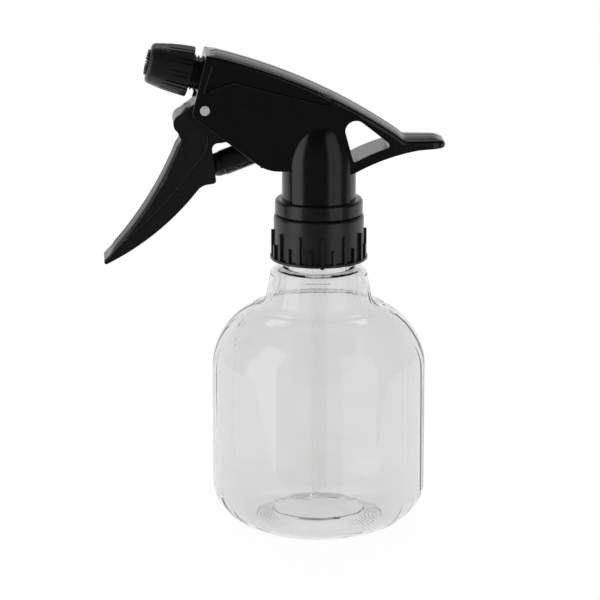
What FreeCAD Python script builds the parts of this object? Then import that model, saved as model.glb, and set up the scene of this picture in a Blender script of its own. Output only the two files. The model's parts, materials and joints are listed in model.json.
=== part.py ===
import FreeCAD, Part
import math
import os

import Sketcher

# Hand mister: a clear bottle with a trigger spray head.
# Millimetres. Origin: centre of the bottle's foot, on the surface it stands on.
# +Z up, the nozzle points towards -X, the finger tail towards +X, and y = 0 is the plane of symmetry.

V = FreeCAD.Vector
os.makedirs("parts", exist_ok=True)
doc = FreeCAD.newDocument("HandMister")

# ---------------------------------------------------------------- driving dimensions

SIZES = {
    "cut": {"over": 1.0},
    "bottle": {
        "wall_radius": 39.0, "skin": 0.9, "foot_radius": 25.0, "foot_inner": 22.6, "foot_lip": 0.9,
        "ring_radius": 17.0, "ring_low": 2.9, "ring_high": 3.7, "gate_radius": 2.0, "push_up": 5.5,
        "push_arc": 62.0,
        "heel_top": 12.7, "wall_top": 61.5, "dome_radius": 24.2, "dome_z": 81.6,
        "neck_base_radius": 19.2, "neck_base_z": 85.0, "neck_top_radius": 17.7, "neck_top_z": 94.0,
        "ledge_radius": 16.4, "ledge_z": 96.4, "finish_radius": 12.6, "finish_top": 112.0,
        "mouth_radius": 10.6, "thread_pitch": 3.18, "thread_height": 0.95, "thread_start": 101.6,
        "thread_turns": 2.0, "thread_sunk": 0.3, "thread_root_half": 0.95, "thread_crest_half": 0.35,
        "heel_arc": 19.0, "shoulder_arc": 26.0, "neck_foot_arc": 2.4, "neck_foot_inner_arc": 3.2,
        "neck_brow_arc": 2.6, "ledge_arc": 0.9, "throat_arc": 1.6, "throat_foot_arc": 1.7, "ring_step": 0.5,
        "foot_flat": 1.2, "foot_run": 1.0, "foot_rise": 0.15, "neck_foot_run": 1.4, "neck_foot_rise": 1.5,
        "neck_bead": 0.2, "ledge_lip": 0.6, "ledge_run": 0.8, "ledge_rise": 1.0, "throat_run": 1.4,
        "throat_drop": 1.5, "neck_bend": 0.4, "inner_run": 0.8,
    },
    "cap": {
        "bottom": 99.7, "top": 116.2, "body_radius": 16.4, "rib_radius": 17.4, "rim_radius": 17.8,
        "rim_height": 1.2, "bore_radius": 13.95, "plate_bottom": 114.9, "hole_radius": 12.6,
        "rib_width": 1.25, "tall_rib_top": 110.7, "short_rib_top": 105.8, "rib_count": 12,
        "thread_height": 0.85, "thread_start": 103.19, "thread_turns": 2.0, "thread_sunk": 0.3,
        "thread_root_half": 0.85, "thread_crest_half": 0.3, "top_round": 1.1,
        "rim_nick": 0.2, "rim_fall": 0.3, "rim_step": 0.5, "rib_crown": 1.03,
        "rib_sunk": 0.6,
        "rib_lap": 0.4, "nub_radius": 0.7, "nub_at": 17.0, "nub_drop": 0.45, "nub_sunk": 0.3,
    },
    "gasket": {"bottom": 112.0, "top": 113.1, "outer": 13.2, "inner": 9.6},
    "pump": {
        "flange_bottom": 113.1, "flange_top": 114.8, "flange_radius": 13.6, "neck_radius": 12.35,
        "ring_bottom": 116.55, "ring_top": 122.0, "ring_radius": 16.0, "column_radius": 13.45,
        "column_inner": 10.7, "deck_bottom": 134.0, "deck_top": 135.6, "socket_radius": 7.0,
        "socket_outer": 8.4, "socket_bottom": 113.6, "socket_top": 124.0, "ball_room_radius": 3.2,
        "ball_room_top": 127.6, "stem_radius": 5.0, "inlet_radius": 1.8, "inlet_x": -1.2,
        "riser_radius": 4.2, "vent_x": -10.0, "vent_radius": 0.6, "vent_boss": 2.2, "web_half": 1.4,
        "tilt": 20.5, "foot_x": -33.85, "foot_z": 135.93, "mouth": 16.2, "end": 38.6,
        "chamber_end": 37.0, "cylinder_radius": 7.2, "bore_radius": 6.0, "ring_round": 1.2,
        "ring_nick": 0.3, "socket_roof": 2.0,
        "web_front": -12.2, "web_back": 2.0, "web_front_rise": 4.0, "web_back_rise": 8.0, "joint_lap": 0.5,
        "lug_clear": 0.5,
    },
    "spray": {
        "tilt": 13.5, "rear_x": -46.4, "rear_z": 169.05, "barrel_front": 10.4,
        "root_radius": 5.8, "thread_height": 0.6, "thread_pitch": 1.25, "thread_back": -4.4,
        "thread_turns": 6.5, "thread_sunk": 0.2, "thread_root_half": 0.42, "thread_crest_half": 0.14,
        "nose_chamfer": 0.4, "nose_slope": 0.5, "tube_lap": 0.3, "bore_lap": 0.5,
        "nose_radius": 4.9, "nose_back": 5.2, "tube_radius": 2.8,
        "elbow": -36.9, "tube_bore": 1.3, "valve_bore": 2.3, "valve_seat": -1.0,
        "spinner_bore": 3.4, "spinner_back": 4.8, "flange_radius": 5.2, "flange_front": -5.6,
        "flange_back": -7.2, "port_x": -1.0, "port_z": 150.5,
    },
    "cover": {
        "half_width": 10.4, "inner_half": 8.5, "recess_depth": 0.9, "tail_half": 9.4,
        "front_top_x": -40.9, "front_top_z": 176.6, "front_low_x": -46.0, "front_low_z": 156.0,
        "chin_x": -44.4, "chin_z": 153.1, "jaw_x": -23.2, "jaw_z": 136.9, "belly_x": -15.0,
        "belly_z": 134.0, "roof_end_x": 28.6, "roof_end_z": 145.3, "roof_arc": 200.0,
        "tail_root_x": 30.6, "tail_top_x": 43.8, "tail_top_z": 143.7, "tail_end_x": 45.4,
        "tail_low_x": 44.4, "tail_low_z": 141.2, "tail_under_x": 35.5, "tail_under_z": 140.75,
        "throat_x": 11.0, "throat_z": 132.4, "skirt_bottom": 122.2, "skirt_half": 10.4,
        "dome_radius": 14.8, "dome_base": 134.8, "dome_arc": 26.6, "dome_top": 150.5,
        "dome_top_radius": 9.66, "column_clear": 13.75, "wall": 1.9, "sill_z": 163.0,
        "roof_round": 1.2, "edge_round": 0.4, "barrel_hole": 6.65, "tail_tip_half": 8.3, "tail_taper_x": 14.0,
        "recess_front_x": -38.6, "recess_top_z": 173.2, "recess_bend_x": -16.5, "recess_bend_z": 167.3,
        "recess_end_x": 3.2, "recess_end_z": 159.3, "recess_low_x": -31.6, "recess_low_z": 166.6,
        "recess_foot_x": -42.1, "recess_foot_z": 162.9, "bar_front_x": -40.2, "bar_front_z": 170.1,
        "bar_back_x": -34.1, "bar_back_z": 168.3, "bar_height": 0.35,
        "window_back_x": 8.7, "window_back_z": 148.3, "window_foot_x": 11.5, "window_foot_z": 137.8,
        "window_low_x": 12.6, "window_low_z": 137.3, "window_tip_x": 24.0, "window_tip_z": 142.0,
        "window_nose_x": 24.3, "window_nose_z": 143.9, "window_top_x": 14.6, "window_top_z": 151.7,
        "hollow_front_x": -39.6, "hollow_front_z": 173.6, "hollow_back_x": 5.2, "hollow_back_z": 156.9,
        "hollow_waist_x": 6.9, "hollow_waist_z": 149.0, "hollow_foot_x": 9.8, "hollow_foot_z": 136.3,
        "mouth_x": -50.0, "mouth_z": 152.0, "mouth_low_x": -20.0, "lip_x": -43.0,
        "stud_x": -21.3, "stud_z": 135.9, "stud_radius": 0.55, "stud_short": 0.4, "roof_end_arc": 3.0,
        "tail_rise": 0.2, "tail_tip_arc": 1.6, "tail_nose_arc": 1.3, "tail_under_arc": 72.0,
        "belly_arc": 13.5, "chin_arc": 3.4, "tail_corner_arc": 5.6, "tail_corner": 5.0,
        "taper_drop": 20.0, "taper_depth": 60.0, "recess_end_arc": 1.2, "window_foot_arc": 0.9,
        "window_low_arc": 70.0, "window_tip_arc": 1.1, "window_top_arc": 3.9, "spout_depth": 8.0,
        "tail_clear": 0.3, "skirt_beyond": 1.5, "skirt_shelf": 0.05, "skirt_rise": 2.2,
        "recess_run": 0.9, "recess_fall": 1.7,
        "throat_clear": 3.0, "deck_clear": 0.3, "bar_lap": 0.1,
    },
    "pin": {"x": -41.6, "z": 156.65, "radius": 1.75, "hole": 1.77, "trigger_hole": 1.83},
    "trigger": {
        "half_width": 6.6, "front_half": 7.0, "inner_half": 5.0, "lug_radius": 3.7, "skin": 2.2,
        "front_arc": 128.0, "back_arc": 96.0, "knee_x": -50.1, "knee_z": 145.6, "tip_x": -78.1,
        "tip_z": 101.4, "heel_x": -77.3, "heel_z": 100.0, "lap_x": -44.3, "lap_z": 126.7,
        "pad_offset": -7.0, "crown_x": -43.9, "crown_z": 159.5, "brow_x": -50.7, "brow_z": 154.6,
        "cheek_x": -51.3, "cheek_z": 148.3, "foot_x": -41.0, "foot_z": 128.8, "toe_x": -38.9,
        "toe_z": 129.1, "toe_back_x": -37.6, "toe_back_z": 130.6, "hip_x": -38.9, "hip_z": 141.6,
        "arm_x": -36.4, "arm_z": 144.0, "arm_back_x": -33.6, "arm_back_z": 144.4, "arm_up_x": -35.0,
        "arm_up_z": 150.5, "top_back_x": -38.2, "top_back_z": 158.6,
        "step_tip_x": -71.0, "step_tip_z": 108.5, "step_x": -43.7, "step_z": 138.0, "step_bend_x": -41.2,
        "step_bend_z": 141.4, "step_up_x": -40.5, "step_up_z": 144.2, "step_top_x": -40.6,
        "step_top_z": 147.3, "pocket_top": 143.9, "pocket_low": 126.85, "pocket_x": -41.4,
        "pad_top_x": -43.15, "pad_top_z": 140.9, "pad_low_x": -37.9, "pocket_back": -30.0,
        "channel_x": -51.4, "channel_z": 134.6, "channel_tip_x": -71.6, "channel_tip_z": 105.2,
        "channel_out_x": -60.0, "channel_out_z": 98.0, "channel_end_x": -38.0, "channel_end_z": 122.0,
        "channel_back_x": -44.9, "channel_back_z": 129.0, "grip_round": 0.9, "brow_arc": 3.7,
        "tip_arc": 0.95, "lap_arc": 5.5, "toe_arc": 1.3, "hip_arc": 2.2, "step_arc": 150.0,
        "step_bend_arc": 6.0, "heel_nick": 0.1, "heel_rise": 0.5, "heel_beyond": 2.0,
    },
    "piston": {
        "rod_radius": 4.6, "end_radius": 4.35, "end_gap": 0.05, "ring_at": -1.5, "head_front": 19.0,
        "head_back": 26.0, "head_radius": 5.93, "groove_radius": 4.9, "seal_width": 1.4,
        "front_seal": 19.6, "back_seal": 23.9, "spring_pocket": 3.0, "pocket_radius": 4.2,
        "seal_outer": 5.97, "seal_lip": 0.35, "seal_gap": 0.03, "end_nick": 0.3,
        "spring_seat": 2.5, "spring_stop": 0.45,
    },
    "spring": {"radius": 3.5, "wire": 0.4, "turns": 6.0},
    "retainer": {
        "flange_radius": 9.2, "flange_bottom": 112.5, "plug_radius": 6.95, "nipple_radius": 4.5,
        "nipple_bottom": 107.5, "tube_bore": 3.03, "tube_stop": 120.0, "seat_bore": 1.7,
        "seat_low": 122.0, "nipple_nick": 0.5, "clear": 0.05,
    },
    "ball": {"radius": 2.4, "centre_z": 123.79, "outlet_radius": 1.8, "outlet_at": 0.28},
    "tube": {
        "outer": 3.0, "inner": 2.1, "top": 119.9, "bottom": 8.0, "slant": 4.0, "slant_shift": 0.5,
        "centre_x": 0.0,
    },
    "nozzle": {
        "length": 15.4, "rear_radius": 9.15, "front_radius": 7.35, "side_arc": 75.0,
        "shoulder_at": 14.1, "face_radius": 6.2, "thread_bore": 6.75, "thread_depth": 6.4,
        "slide_bore": 5.1, "seal_groove": 6.1, "seal_back": 7.4, "seal_front": 8.8,
        "inner_face": 10.5, "insert_back": 13.0, "insert_radius": 4.6, "insert_proud": 0.8,
        "orifice": 0.4, "groove_floor": 8.1, "groove_width": 0.7, "groove_step": 0.78,
        "groove_count": 12, "brow_arc": 1.6, "throat": 1.4, "rear_nick": 0.3,
    },
    "spinner": {
        "side_clear": 0.04, "end_clear": 0.1, "tail_radius": 1.0, "tail_length": 0.9, "flute_floor": 2.6,
        "flute_out": 3.8, "flute_half": 0.5, "flute_count": 4, "web": 1.2,
    },
    "insert": {
        "clear": 0.05, "rim": 1.3, "dish": 0.5, "dish_step": 0.2, "cone_radius": 1.2, "cone_depth": 0.5,
        "tooth_half": 0.22, "tooth_in": 1.6, "tooth_out": 0.6, "tooth_floor": 0.2, "tooth_count": 24,
        "back_clear": 0.02,
    },
    "oring": {"centre_radius": 5.5, "section_radius": 0.57, "at": 8.1},
    "outlet_spring": {"radius": 1.5, "wire": 0.22, "turns": 5.0, "back": 2.2, "front": 4.7},
}


def fill_sheet():
    """One row per driving dimension: its name, then its value under the alias group_name."""
    table = doc.addObject("Spreadsheet::Sheet", "Sizes")
    row = 1
    for group, entries in SIZES.items():
        for name, value in entries.items():
            table.set("A%d" % row, "%s %s" % (group, name.replace("_", " ")))
            table.set("B%d" % row, str(value))
            table.setAlias("B%d" % row, "%s_%s" % (group, name))
            row += 1
    doc.recompute()
    return table


sheet = fill_sheet()


def bound(expression):
    """Write $name for a sheet cell: the expression FreeCAD reads."""
    return str(expression).replace("$", "Sizes.")


def worth(expression):
    """What such an expression is worth now, in millimetres or degrees."""
    value = sheet.evalExpression(bound(expression).replace("Sizes.", ""))
    return float(getattr(value, "Value", value))


# ---------------------------------------------------------------- helpers


def new_body(label):
    body = doc.addObject("PartDesign::Body", label)
    body.Label = label
    return body


def plane_of(body, role):
    return next(item for item in body.Origin.OriginFeatures if item.Role == role)


def new_sketch(body, label, role="XZ_Plane", lift="0", turn=0):
    """A sketch flat on one of the body's own origin planes.

    It is raised along the plane's normal by lift, after a turn in degrees about the plane's upright.
    """
    sketch = body.newObject("Sketcher::SketchObject", label)
    sketch.AttachmentSupport = [(plane_of(body, role), "")]
    sketch.MapMode = "FlatFace"
    sketch.AttachmentOffset = FreeCAD.Placement(V(0, 0, 0), FreeCAD.Rotation(V(0, 1, 0), turn))
    if lift != "0":
        sketch.setExpression("AttachmentOffset.Base.x", bound("(%s) * sin(%s deg)" % (lift, turn)))
        sketch.setExpression("AttachmentOffset.Base.z", bound("(%s) * cos(%s deg)" % (lift, turn)))
    return sketch


def pin_point(sketch, geometry, end, across, up):
    """Hold one end of a curve at a place given by two expressions."""
    for kind, expression in (("DistanceX", across), ("DistanceY", up)):
        value = worth(expression)
        if abs(value) < 1e-9 and str(expression).strip() in ("0", "0.0"):
            axis = -2 if kind == "DistanceX" else -1
            sketch.addConstraint(Sketcher.Constraint("PointOnObject", geometry, end, axis))
            continue
        index = sketch.addConstraint(Sketcher.Constraint(kind, geometry, end, value))
        sketch.setExpression("Constraints[%d]" % index, bound(expression))


def arc_through(start, finish, radius, turn):
    """Centre of the arc from start to finish: turn is 1 when it runs anticlockwise, -1 clockwise."""
    chord = finish - start
    middle = (start + finish) * 0.5
    rise = math.sqrt(max(radius * radius - chord.Length * chord.Length / 4.0, 0.0))
    normal = V(-chord.y, chord.x, 0).normalize()
    return middle + normal * (rise * turn)


def arc_miss(point, start, finish, radius):
    """How far a point of the side view is from the clockwise arc through two places."""
    first = V(worth(start[0]), worth(start[1]), 0)
    last = V(worth(finish[0]), worth(finish[1]), 0)
    centre = arc_through(first, last, radius, -1)
    return V(point.x, point.z, 0).distanceToPoint(centre) - radius


def outline(sketch, corners):
    """A closed loop. A corner is (across, up) or (across, up, radius, turn) when an arc leaves it."""
    points = [V(worth(corner[0]), worth(corner[1]), 0) for corner in corners]
    first = len(sketch.Geometry)
    count = len(corners)
    ends = []
    for index, corner in enumerate(corners):
        start = points[index]
        finish = points[(index + 1) % count]
        if len(corner) == 2:
            sketch.addGeometry(Part.LineSegment(start, finish), False)
            ends.append((1, 2))
            continue
        turn = corner[3]
        radius = worth(corner[2])
        centre = arc_through(start, finish, radius, turn)
        begin, stop = (start, finish) if turn > 0 else (finish, start)
        angles = [math.atan2(place.y - centre.y, place.x - centre.x) for place in (begin, stop)]
        if angles[1] < angles[0]:
            angles[1] += 2 * math.pi
        circle = Part.Circle(centre, V(0, 0, 1), radius)
        sketch.addGeometry(Part.ArcOfCircle(circle, angles[0], angles[1]), False)
        ends.append((1, 2) if turn > 0 else (2, 1))
    for index, corner in enumerate(corners):
        after = (index + 1) % count
        sketch.addConstraint(Sketcher.Constraint("Coincident", first + index, ends[index][1],
                                                 first + after, ends[after][0]))
    for index, corner in enumerate(corners):
        pin_point(sketch, first + index, ends[index][0], corner[0], corner[1])
    for index, corner in enumerate(corners):
        if len(corner) > 2:
            number = sketch.addConstraint(Sketcher.Constraint("Radius", first + index, worth(corner[2])))
            sketch.setExpression("Constraints[%d]" % number, bound(corner[2]))
    return sketch


def ring(sketch, across, up, radius):
    """A circle in a sketch."""
    circle = Part.Circle(V(worth(across), worth(up), 0), V(0, 0, 1), worth(radius))
    index = sketch.addGeometry(circle, False)
    pin_point(sketch, index, 3, across, up)
    number = sketch.addConstraint(Sketcher.Constraint("Radius", index, worth(radius)))
    sketch.setExpression("Constraints[%d]" % number, bound(radius))
    return sketch


def spin(body, label, corners, cut=False):
    """Turn an outline about the upright axis of its plane: (radius, height) corners."""
    sketch = outline(new_sketch(body, label + "_outline"), corners)
    feature = body.newObject("PartDesign::Groove" if cut else "PartDesign::Revolution", label)
    feature.Profile = sketch
    feature.ReferenceAxis = (sketch, ["V_Axis"])
    feature.Angle = 360
    doc.recompute()
    return feature


def pad(body, label, sketch, length, both=True, back=False):
    feature = body.newObject("PartDesign::Pad", label)
    feature.Profile = sketch
    feature.setExpression("Length", bound(length))
    feature.Midplane = both
    feature.Reversed = back
    doc.recompute()
    return feature


def pocket(body, label, sketch, length, both=True, back=False):
    feature = body.newObject("PartDesign::Pocket", label)
    feature.Profile = sketch
    feature.setExpression("Length", bound(length))
    feature.Midplane = both
    feature.Reversed = back
    before = body.Shape.Volume
    doc.recompute()
    if body.Shape.Volume > before - 1e-3:
        raise RuntimeError("%s cuts nothing" % label)
    return feature


def edges_where(shape, test):
    """Names of the edges whose sampled points all pass a test."""
    names = []
    for number, edge in enumerate(shape.Edges, 1):
        if edge.Length < 1e-3:
            continue
        if all(test(point) for point in edge.discretize(5)):
            names.append("Edge%d" % number)
    return names


def soften(body, label, base, test, radius):
    """Round the edges that pass a test."""
    names = edges_where(base.Shape, test)
    if not names:
        raise RuntimeError("%s finds no edges" % label)
    feature = body.newObject("PartDesign::Fillet", label)
    feature.Base = (base, names)
    feature.setExpression("Radius", bound(radius))
    doc.recompute()
    return feature


def ridge_section(group, root, crest, middle):
    """A thread's section about its middle height: wide at the root, narrow at the crest."""
    wide = "$%s_thread_root_half" % group
    narrow = "$%s_thread_crest_half" % group
    return [
        (root, "%s - %s" % (middle, wide)),
        (crest, "%s - %s" % (middle, narrow)),
        (crest, "%s + %s" % (middle, narrow)),
        (root, "%s + %s" % (middle, wide)),
    ]


def helix_ridge(body, label, corners, pitch, turns):
    """A ridge wound about +Z: corners are its section, as (radius, height)."""
    sketch = outline(new_sketch(body, label + "_section"), corners)
    feature = body.newObject("PartDesign::AdditiveHelix", label)
    feature.Profile = sketch
    feature.ReferenceAxis = (sketch, ["V_Axis"])
    feature.Mode = "pitch-turns-angle"
    feature.setExpression("Pitch", bound(pitch))
    feature.setExpression("Turns", bound(turns))
    doc.recompute()
    return feature


# ---------------------------------------------------------------- bottle

def make_bottle():
    body = new_body("bottle")
    skin = "$bottle_skin"
    spin(body, "bottle_wall", [
        ("0", "$bottle_push_up"),
        ("$bottle_gate_radius", "$bottle_push_up", "$bottle_push_arc", -1),
        ("$bottle_ring_radius - $bottle_ring_step", "$bottle_ring_high"),
        ("$bottle_ring_radius", "$bottle_ring_low"),
        ("$bottle_foot_inner", "$bottle_foot_lip"),
        ("$bottle_foot_inner + $bottle_foot_run", "$bottle_foot_rise"),
        ("$bottle_foot_radius", "0"),
        ("$bottle_foot_radius + $bottle_foot_flat", "0", "$bottle_heel_arc", 1),
        ("$bottle_wall_radius", "$bottle_heel_top"),
        ("$bottle_wall_radius", "$bottle_wall_top", "$bottle_shoulder_arc", 1),
        ("$bottle_dome_radius", "$bottle_dome_z"),
        ("$bottle_neck_base_radius + $bottle_neck_foot_run", "$bottle_dome_z + $bottle_neck_foot_rise",
         "$bottle_neck_foot_arc", -1),
        ("$bottle_neck_base_radius", "$bottle_neck_base_z + $bottle_neck_bead"),
        ("$bottle_neck_top_radius", "$bottle_neck_top_z", "$bottle_neck_brow_arc", 1),
        ("$bottle_ledge_radius - $bottle_ledge_lip", "$bottle_ledge_z"),
        ("$bottle_finish_radius + $bottle_ledge_run", "$bottle_ledge_z + $bottle_neck_bead",
         "$bottle_ledge_arc", -1),
        ("$bottle_finish_radius", "$bottle_ledge_z + $bottle_ledge_rise"),
        ("$bottle_finish_radius", "$bottle_finish_top"),
        ("$bottle_mouth_radius", "$bottle_finish_top"),
        ("$bottle_mouth_radius", "$bottle_ledge_z", "$bottle_throat_arc", 1),
        ("$bottle_mouth_radius + $bottle_throat_run", "$bottle_ledge_z - $bottle_throat_run"),
        ("$bottle_neck_top_radius - %s - $bottle_throat_run" % skin, "$bottle_ledge_z - $bottle_throat_drop",
         "$bottle_throat_foot_arc", -1),
        ("$bottle_neck_top_radius - %s" % skin, "$bottle_neck_top_z - $bottle_neck_bend"),
        ("$bottle_neck_base_radius - %s" % skin, "$bottle_neck_base_z",
         "$bottle_neck_foot_inner_arc", 1),
        ("$bottle_neck_base_radius + $bottle_inner_run", "$bottle_dome_z + $bottle_inner_run"),
        ("$bottle_dome_radius - $bottle_neck_bend", "$bottle_dome_z - %s" % skin,
         "$bottle_shoulder_arc - %s" % skin, -1),
        ("$bottle_wall_radius - %s" % skin, "$bottle_wall_top"),
        ("$bottle_wall_radius - %s" % skin, "$bottle_heel_top", "$bottle_heel_arc - %s" % skin, -1),
        ("$bottle_foot_radius + $bottle_foot_flat", skin),
        ("$bottle_foot_radius", skin),
        ("$bottle_foot_inner + $bottle_inner_run", skin + " + $bottle_neck_bead"),
        ("$bottle_foot_inner", skin + " + $bottle_foot_lip"),
        ("$bottle_ring_radius", skin + " + $bottle_ring_low"),
        ("$bottle_ring_radius - $bottle_ring_step", skin + " + $bottle_ring_high", "$bottle_push_arc", 1),
        ("$bottle_gate_radius", skin + " + $bottle_push_up"),
        ("0", skin + " + $bottle_push_up"),
    ])
    root = "$bottle_finish_radius - $bottle_thread_sunk"
    crest = "$bottle_finish_radius + $bottle_thread_height"
    section = ridge_section("bottle", root, crest, "$bottle_thread_start")
    helix_ridge(body, "bottle_thread", section, "$bottle_thread_pitch", "$bottle_thread_turns")
    return body


# ---------------------------------------------------------------- placing along the two slanted lines

LINES = {
    "pump": ("$pump_foot_x", "$pump_foot_z", "$pump_tilt", 1),
    "spray": ("$spray_rear_x", "$spray_rear_z", "$spray_tilt", -1),
}


def lay_along(item, line, distance="0"):
    """Turn an item's own +Z onto the pump line or the spray line, distance from the line's start."""
    across, up, tilt, side = LINES[line]
    item.Placement = FreeCAD.Placement(V(0, 0, 0), FreeCAD.Rotation(V(0, side, 0), 60))
    angle = "(90 - %s) * 1 deg" % tilt
    run = "(%s) * cos(%s * 1 deg)" % (distance, tilt)
    rise = "(%s) * sin(%s * 1 deg)" % (distance, tilt)
    item.setExpression("Placement.Base.x", bound("%s %s %s" % (across, "+" if side > 0 else "-", run)))
    item.setExpression("Placement.Base.z", bound("%s + %s" % (up, rise)))
    item.setExpression("Placement.Rotation.Angle", bound(angle))
    return item


def rod(label, radius, length):
    """A plain cylinder standing on the origin."""
    item = doc.addObject("Part::Cylinder", label)
    item.setExpression("Radius", bound(radius))
    item.setExpression("Height", bound(length))
    return item


def upright(label, radius, across, low, high):
    """A cylinder standing at a place on the plane of symmetry."""
    item = rod(label, radius, "(%s) - (%s)" % (high, low))
    item.setExpression("Placement.Base.x", bound(across))
    item.setExpression("Placement.Base.z", bound(low))
    return item


def ball(label, radius):
    item = doc.addObject("Part::Sphere", label)
    item.setExpression("Radius", bound(radius))
    return item


def joined(label, items):
    result = doc.addObject("Part::MultiFuse", label)
    result.Shapes = items
    doc.recompute()
    return result


def cut_from(label, base, tool):
    result = doc.addObject("Part::Cut", label)
    result.Base = base
    result.Tool = tool
    result.Label = label
    doc.recompute()
    return result


def around(body, label, features, count):
    """Repeat features evenly about the body's own Z axis."""
    pattern = body.newObject("PartDesign::PolarPattern", label)
    pattern.Originals = features
    pattern.Axis = (plane_of(body, "Z_Axis"), [""])
    pattern.Angle = 360
    pattern.Occurrences = int(worth(count))
    body.Tip = pattern
    doc.recompute()
    return pattern


def mirrored(body, label, features):
    """Repeat features on the other side of y = 0."""
    pattern = body.newObject("PartDesign::Mirrored", label)
    pattern.Originals = features
    pattern.MirrorPlane = (plane_of(body, "XZ_Plane"), [""])
    body.Tip = pattern
    doc.recompute()
    return pattern


# ---------------------------------------------------------------- closure

def make_screw_cap():
    body = new_body("screw_cap")
    spin(body, "cap_shell", [
        ("$cap_bore_radius", "$cap_bottom"),
        ("$cap_rim_radius - $cap_rim_nick", "$cap_bottom"),
        ("$cap_rim_radius", "$cap_bottom + $cap_rim_nick"),
        ("$cap_rim_radius", "$cap_bottom + $cap_rim_height - $cap_rim_fall"),
        ("$cap_body_radius + $cap_rim_step", "$cap_bottom + $cap_rim_height"),
        ("$cap_body_radius", "$cap_bottom + $cap_rim_height"),
        ("$cap_body_radius", "$cap_top - $cap_top_round", "$cap_top_round", 1),
        ("$cap_body_radius - $cap_top_round", "$cap_top"),
        ("$cap_hole_radius", "$cap_top"),
        ("$cap_hole_radius", "$cap_plate_bottom"),
        ("$cap_bore_radius", "$cap_plate_bottom"),
    ])
    root = "$cap_bore_radius + $cap_thread_sunk"
    crest = "$cap_bore_radius - $cap_thread_height"
    section = ridge_section("cap", root, crest, "$cap_thread_start")
    helix_ridge(body, "cap_thread", section[::-1], "$bottle_thread_pitch", "$cap_thread_turns")
    start = "$cap_body_radius - $cap_rib_sunk"
    half = "$cap_rib_width / 2"
    foot = "$cap_bottom + $cap_rim_height - $cap_rib_lap"
    half_step = 180.0 / worth("$cap_rib_count")
    for label, top, turn in (("tall", "$cap_tall_rib_top", 0), ("short", "$cap_short_rib_top", half_step)):
        sketch = new_sketch(body, label + "_rib_outline", lift=start, turn=turn)
        outline(sketch, [
            ("-" + half, foot),
            (half, foot),
            (half, "%s - %s" % (top, half), half + " * $cap_rib_crown", 1),
            ("-" + half, "%s - %s" % (top, half)),
        ])
        rib = pad(body, label + "_rib", sketch, "$cap_rib_radius - (%s)" % start, both=False)
        around(body, label + "_ribs", [rib], "$cap_rib_count")
    below = new_sketch(body, "nub_outline", "XY_Plane", "$cap_bottom - $cap_nub_drop")
    nub = ring(below, "0", "-$cap_nub_at", "$cap_nub_radius")
    pad(body, "gate_nub", nub, "$cap_nub_drop + $cap_nub_sunk", both=False)
    return body


def make_gasket():
    body = new_body("cap_gasket")
    spin(body, "gasket_ring", [
        ("$gasket_inner", "$gasket_bottom"),
        ("$gasket_outer", "$gasket_bottom"),
        ("$gasket_outer", "$gasket_top"),
        ("$gasket_inner", "$gasket_top"),
    ])
    return body


# ---------------------------------------------------------------- pump body

def make_tower():
    """Clamped flange, the ring seen above the closure, the column and the valve socket inside it."""
    body = new_body("tower")
    edge = "$pump_ring_round"
    spin(body, "tower_turned", [
        ("0", "$pump_ball_room_top"),
        ("$pump_ball_room_radius", "$pump_ball_room_top"),
        ("$pump_ball_room_radius", "$pump_socket_top"),
        ("$pump_socket_radius", "$pump_socket_top"),
        ("$pump_socket_radius", "$pump_socket_bottom"),
        ("$pump_socket_outer", "$pump_socket_bottom"),
        ("$pump_socket_outer", "$pump_socket_top + $pump_socket_roof"),
        ("$pump_stem_radius", "$pump_ball_room_top + $pump_socket_roof"),
        ("$pump_stem_radius", "$pump_deck_bottom"),
        ("$pump_column_inner", "$pump_deck_bottom"),
        ("$pump_column_inner", "$pump_flange_bottom"),
        ("$pump_flange_radius", "$pump_flange_bottom"),
        ("$pump_flange_radius", "$pump_flange_top"),
        ("$pump_neck_radius", "$pump_flange_top"),
        ("$pump_neck_radius", "$pump_ring_bottom"),
        ("$pump_ring_radius - $pump_ring_nick", "$pump_ring_bottom"),
        ("$pump_ring_radius", "$pump_ring_bottom + $pump_ring_nick"),
        ("$pump_ring_radius", "$pump_ring_top - %s" % edge, edge, 1),
        ("$pump_ring_radius - %s" % edge, "$pump_ring_top"),
        ("$pump_column_radius", "$pump_ring_top"),
        ("$pump_column_radius", "$pump_deck_top"),
        ("0", "$pump_deck_top"),
    ])
    return body


def make_barrel():
    """The threaded spout, drawn along its own axis: heights are distances along the spray line."""
    body = new_body("barrel")
    spin(body, "barrel_turned", [
        ("$spray_tube_bore", "$spray_flange_back"),
        ("$spray_flange_radius", "$spray_flange_back"),
        ("$spray_flange_radius", "$spray_flange_front"),
        ("$spray_root_radius", "$spray_flange_front"),
        ("$spray_root_radius", "$spray_nose_back - $spray_nose_slope"),
        ("$spray_nose_radius", "$spray_nose_back"),
        ("$spray_nose_radius", "$spray_barrel_front - $spray_nose_chamfer"),
        ("$spray_nose_radius - $spray_nose_chamfer", "$spray_barrel_front"),
        ("$spray_spinner_bore", "$spray_barrel_front"),
        ("$spray_spinner_bore", "$spray_spinner_back"),
        ("$spray_valve_bore", "$spray_spinner_back"),
        ("$spray_valve_bore", "$spray_valve_seat"),
        ("$spray_tube_bore", "$spray_valve_seat"),
    ])
    root = "$spray_root_radius - $spray_thread_sunk"
    crest = "$spray_root_radius + $spray_thread_height"
    section = ridge_section("spray", root, crest, "$spray_thread_back")
    helix_ridge(body, "barrel_thread", section, "$spray_thread_pitch", "$spray_thread_turns")
    return lay_along(body, "spray")


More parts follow.
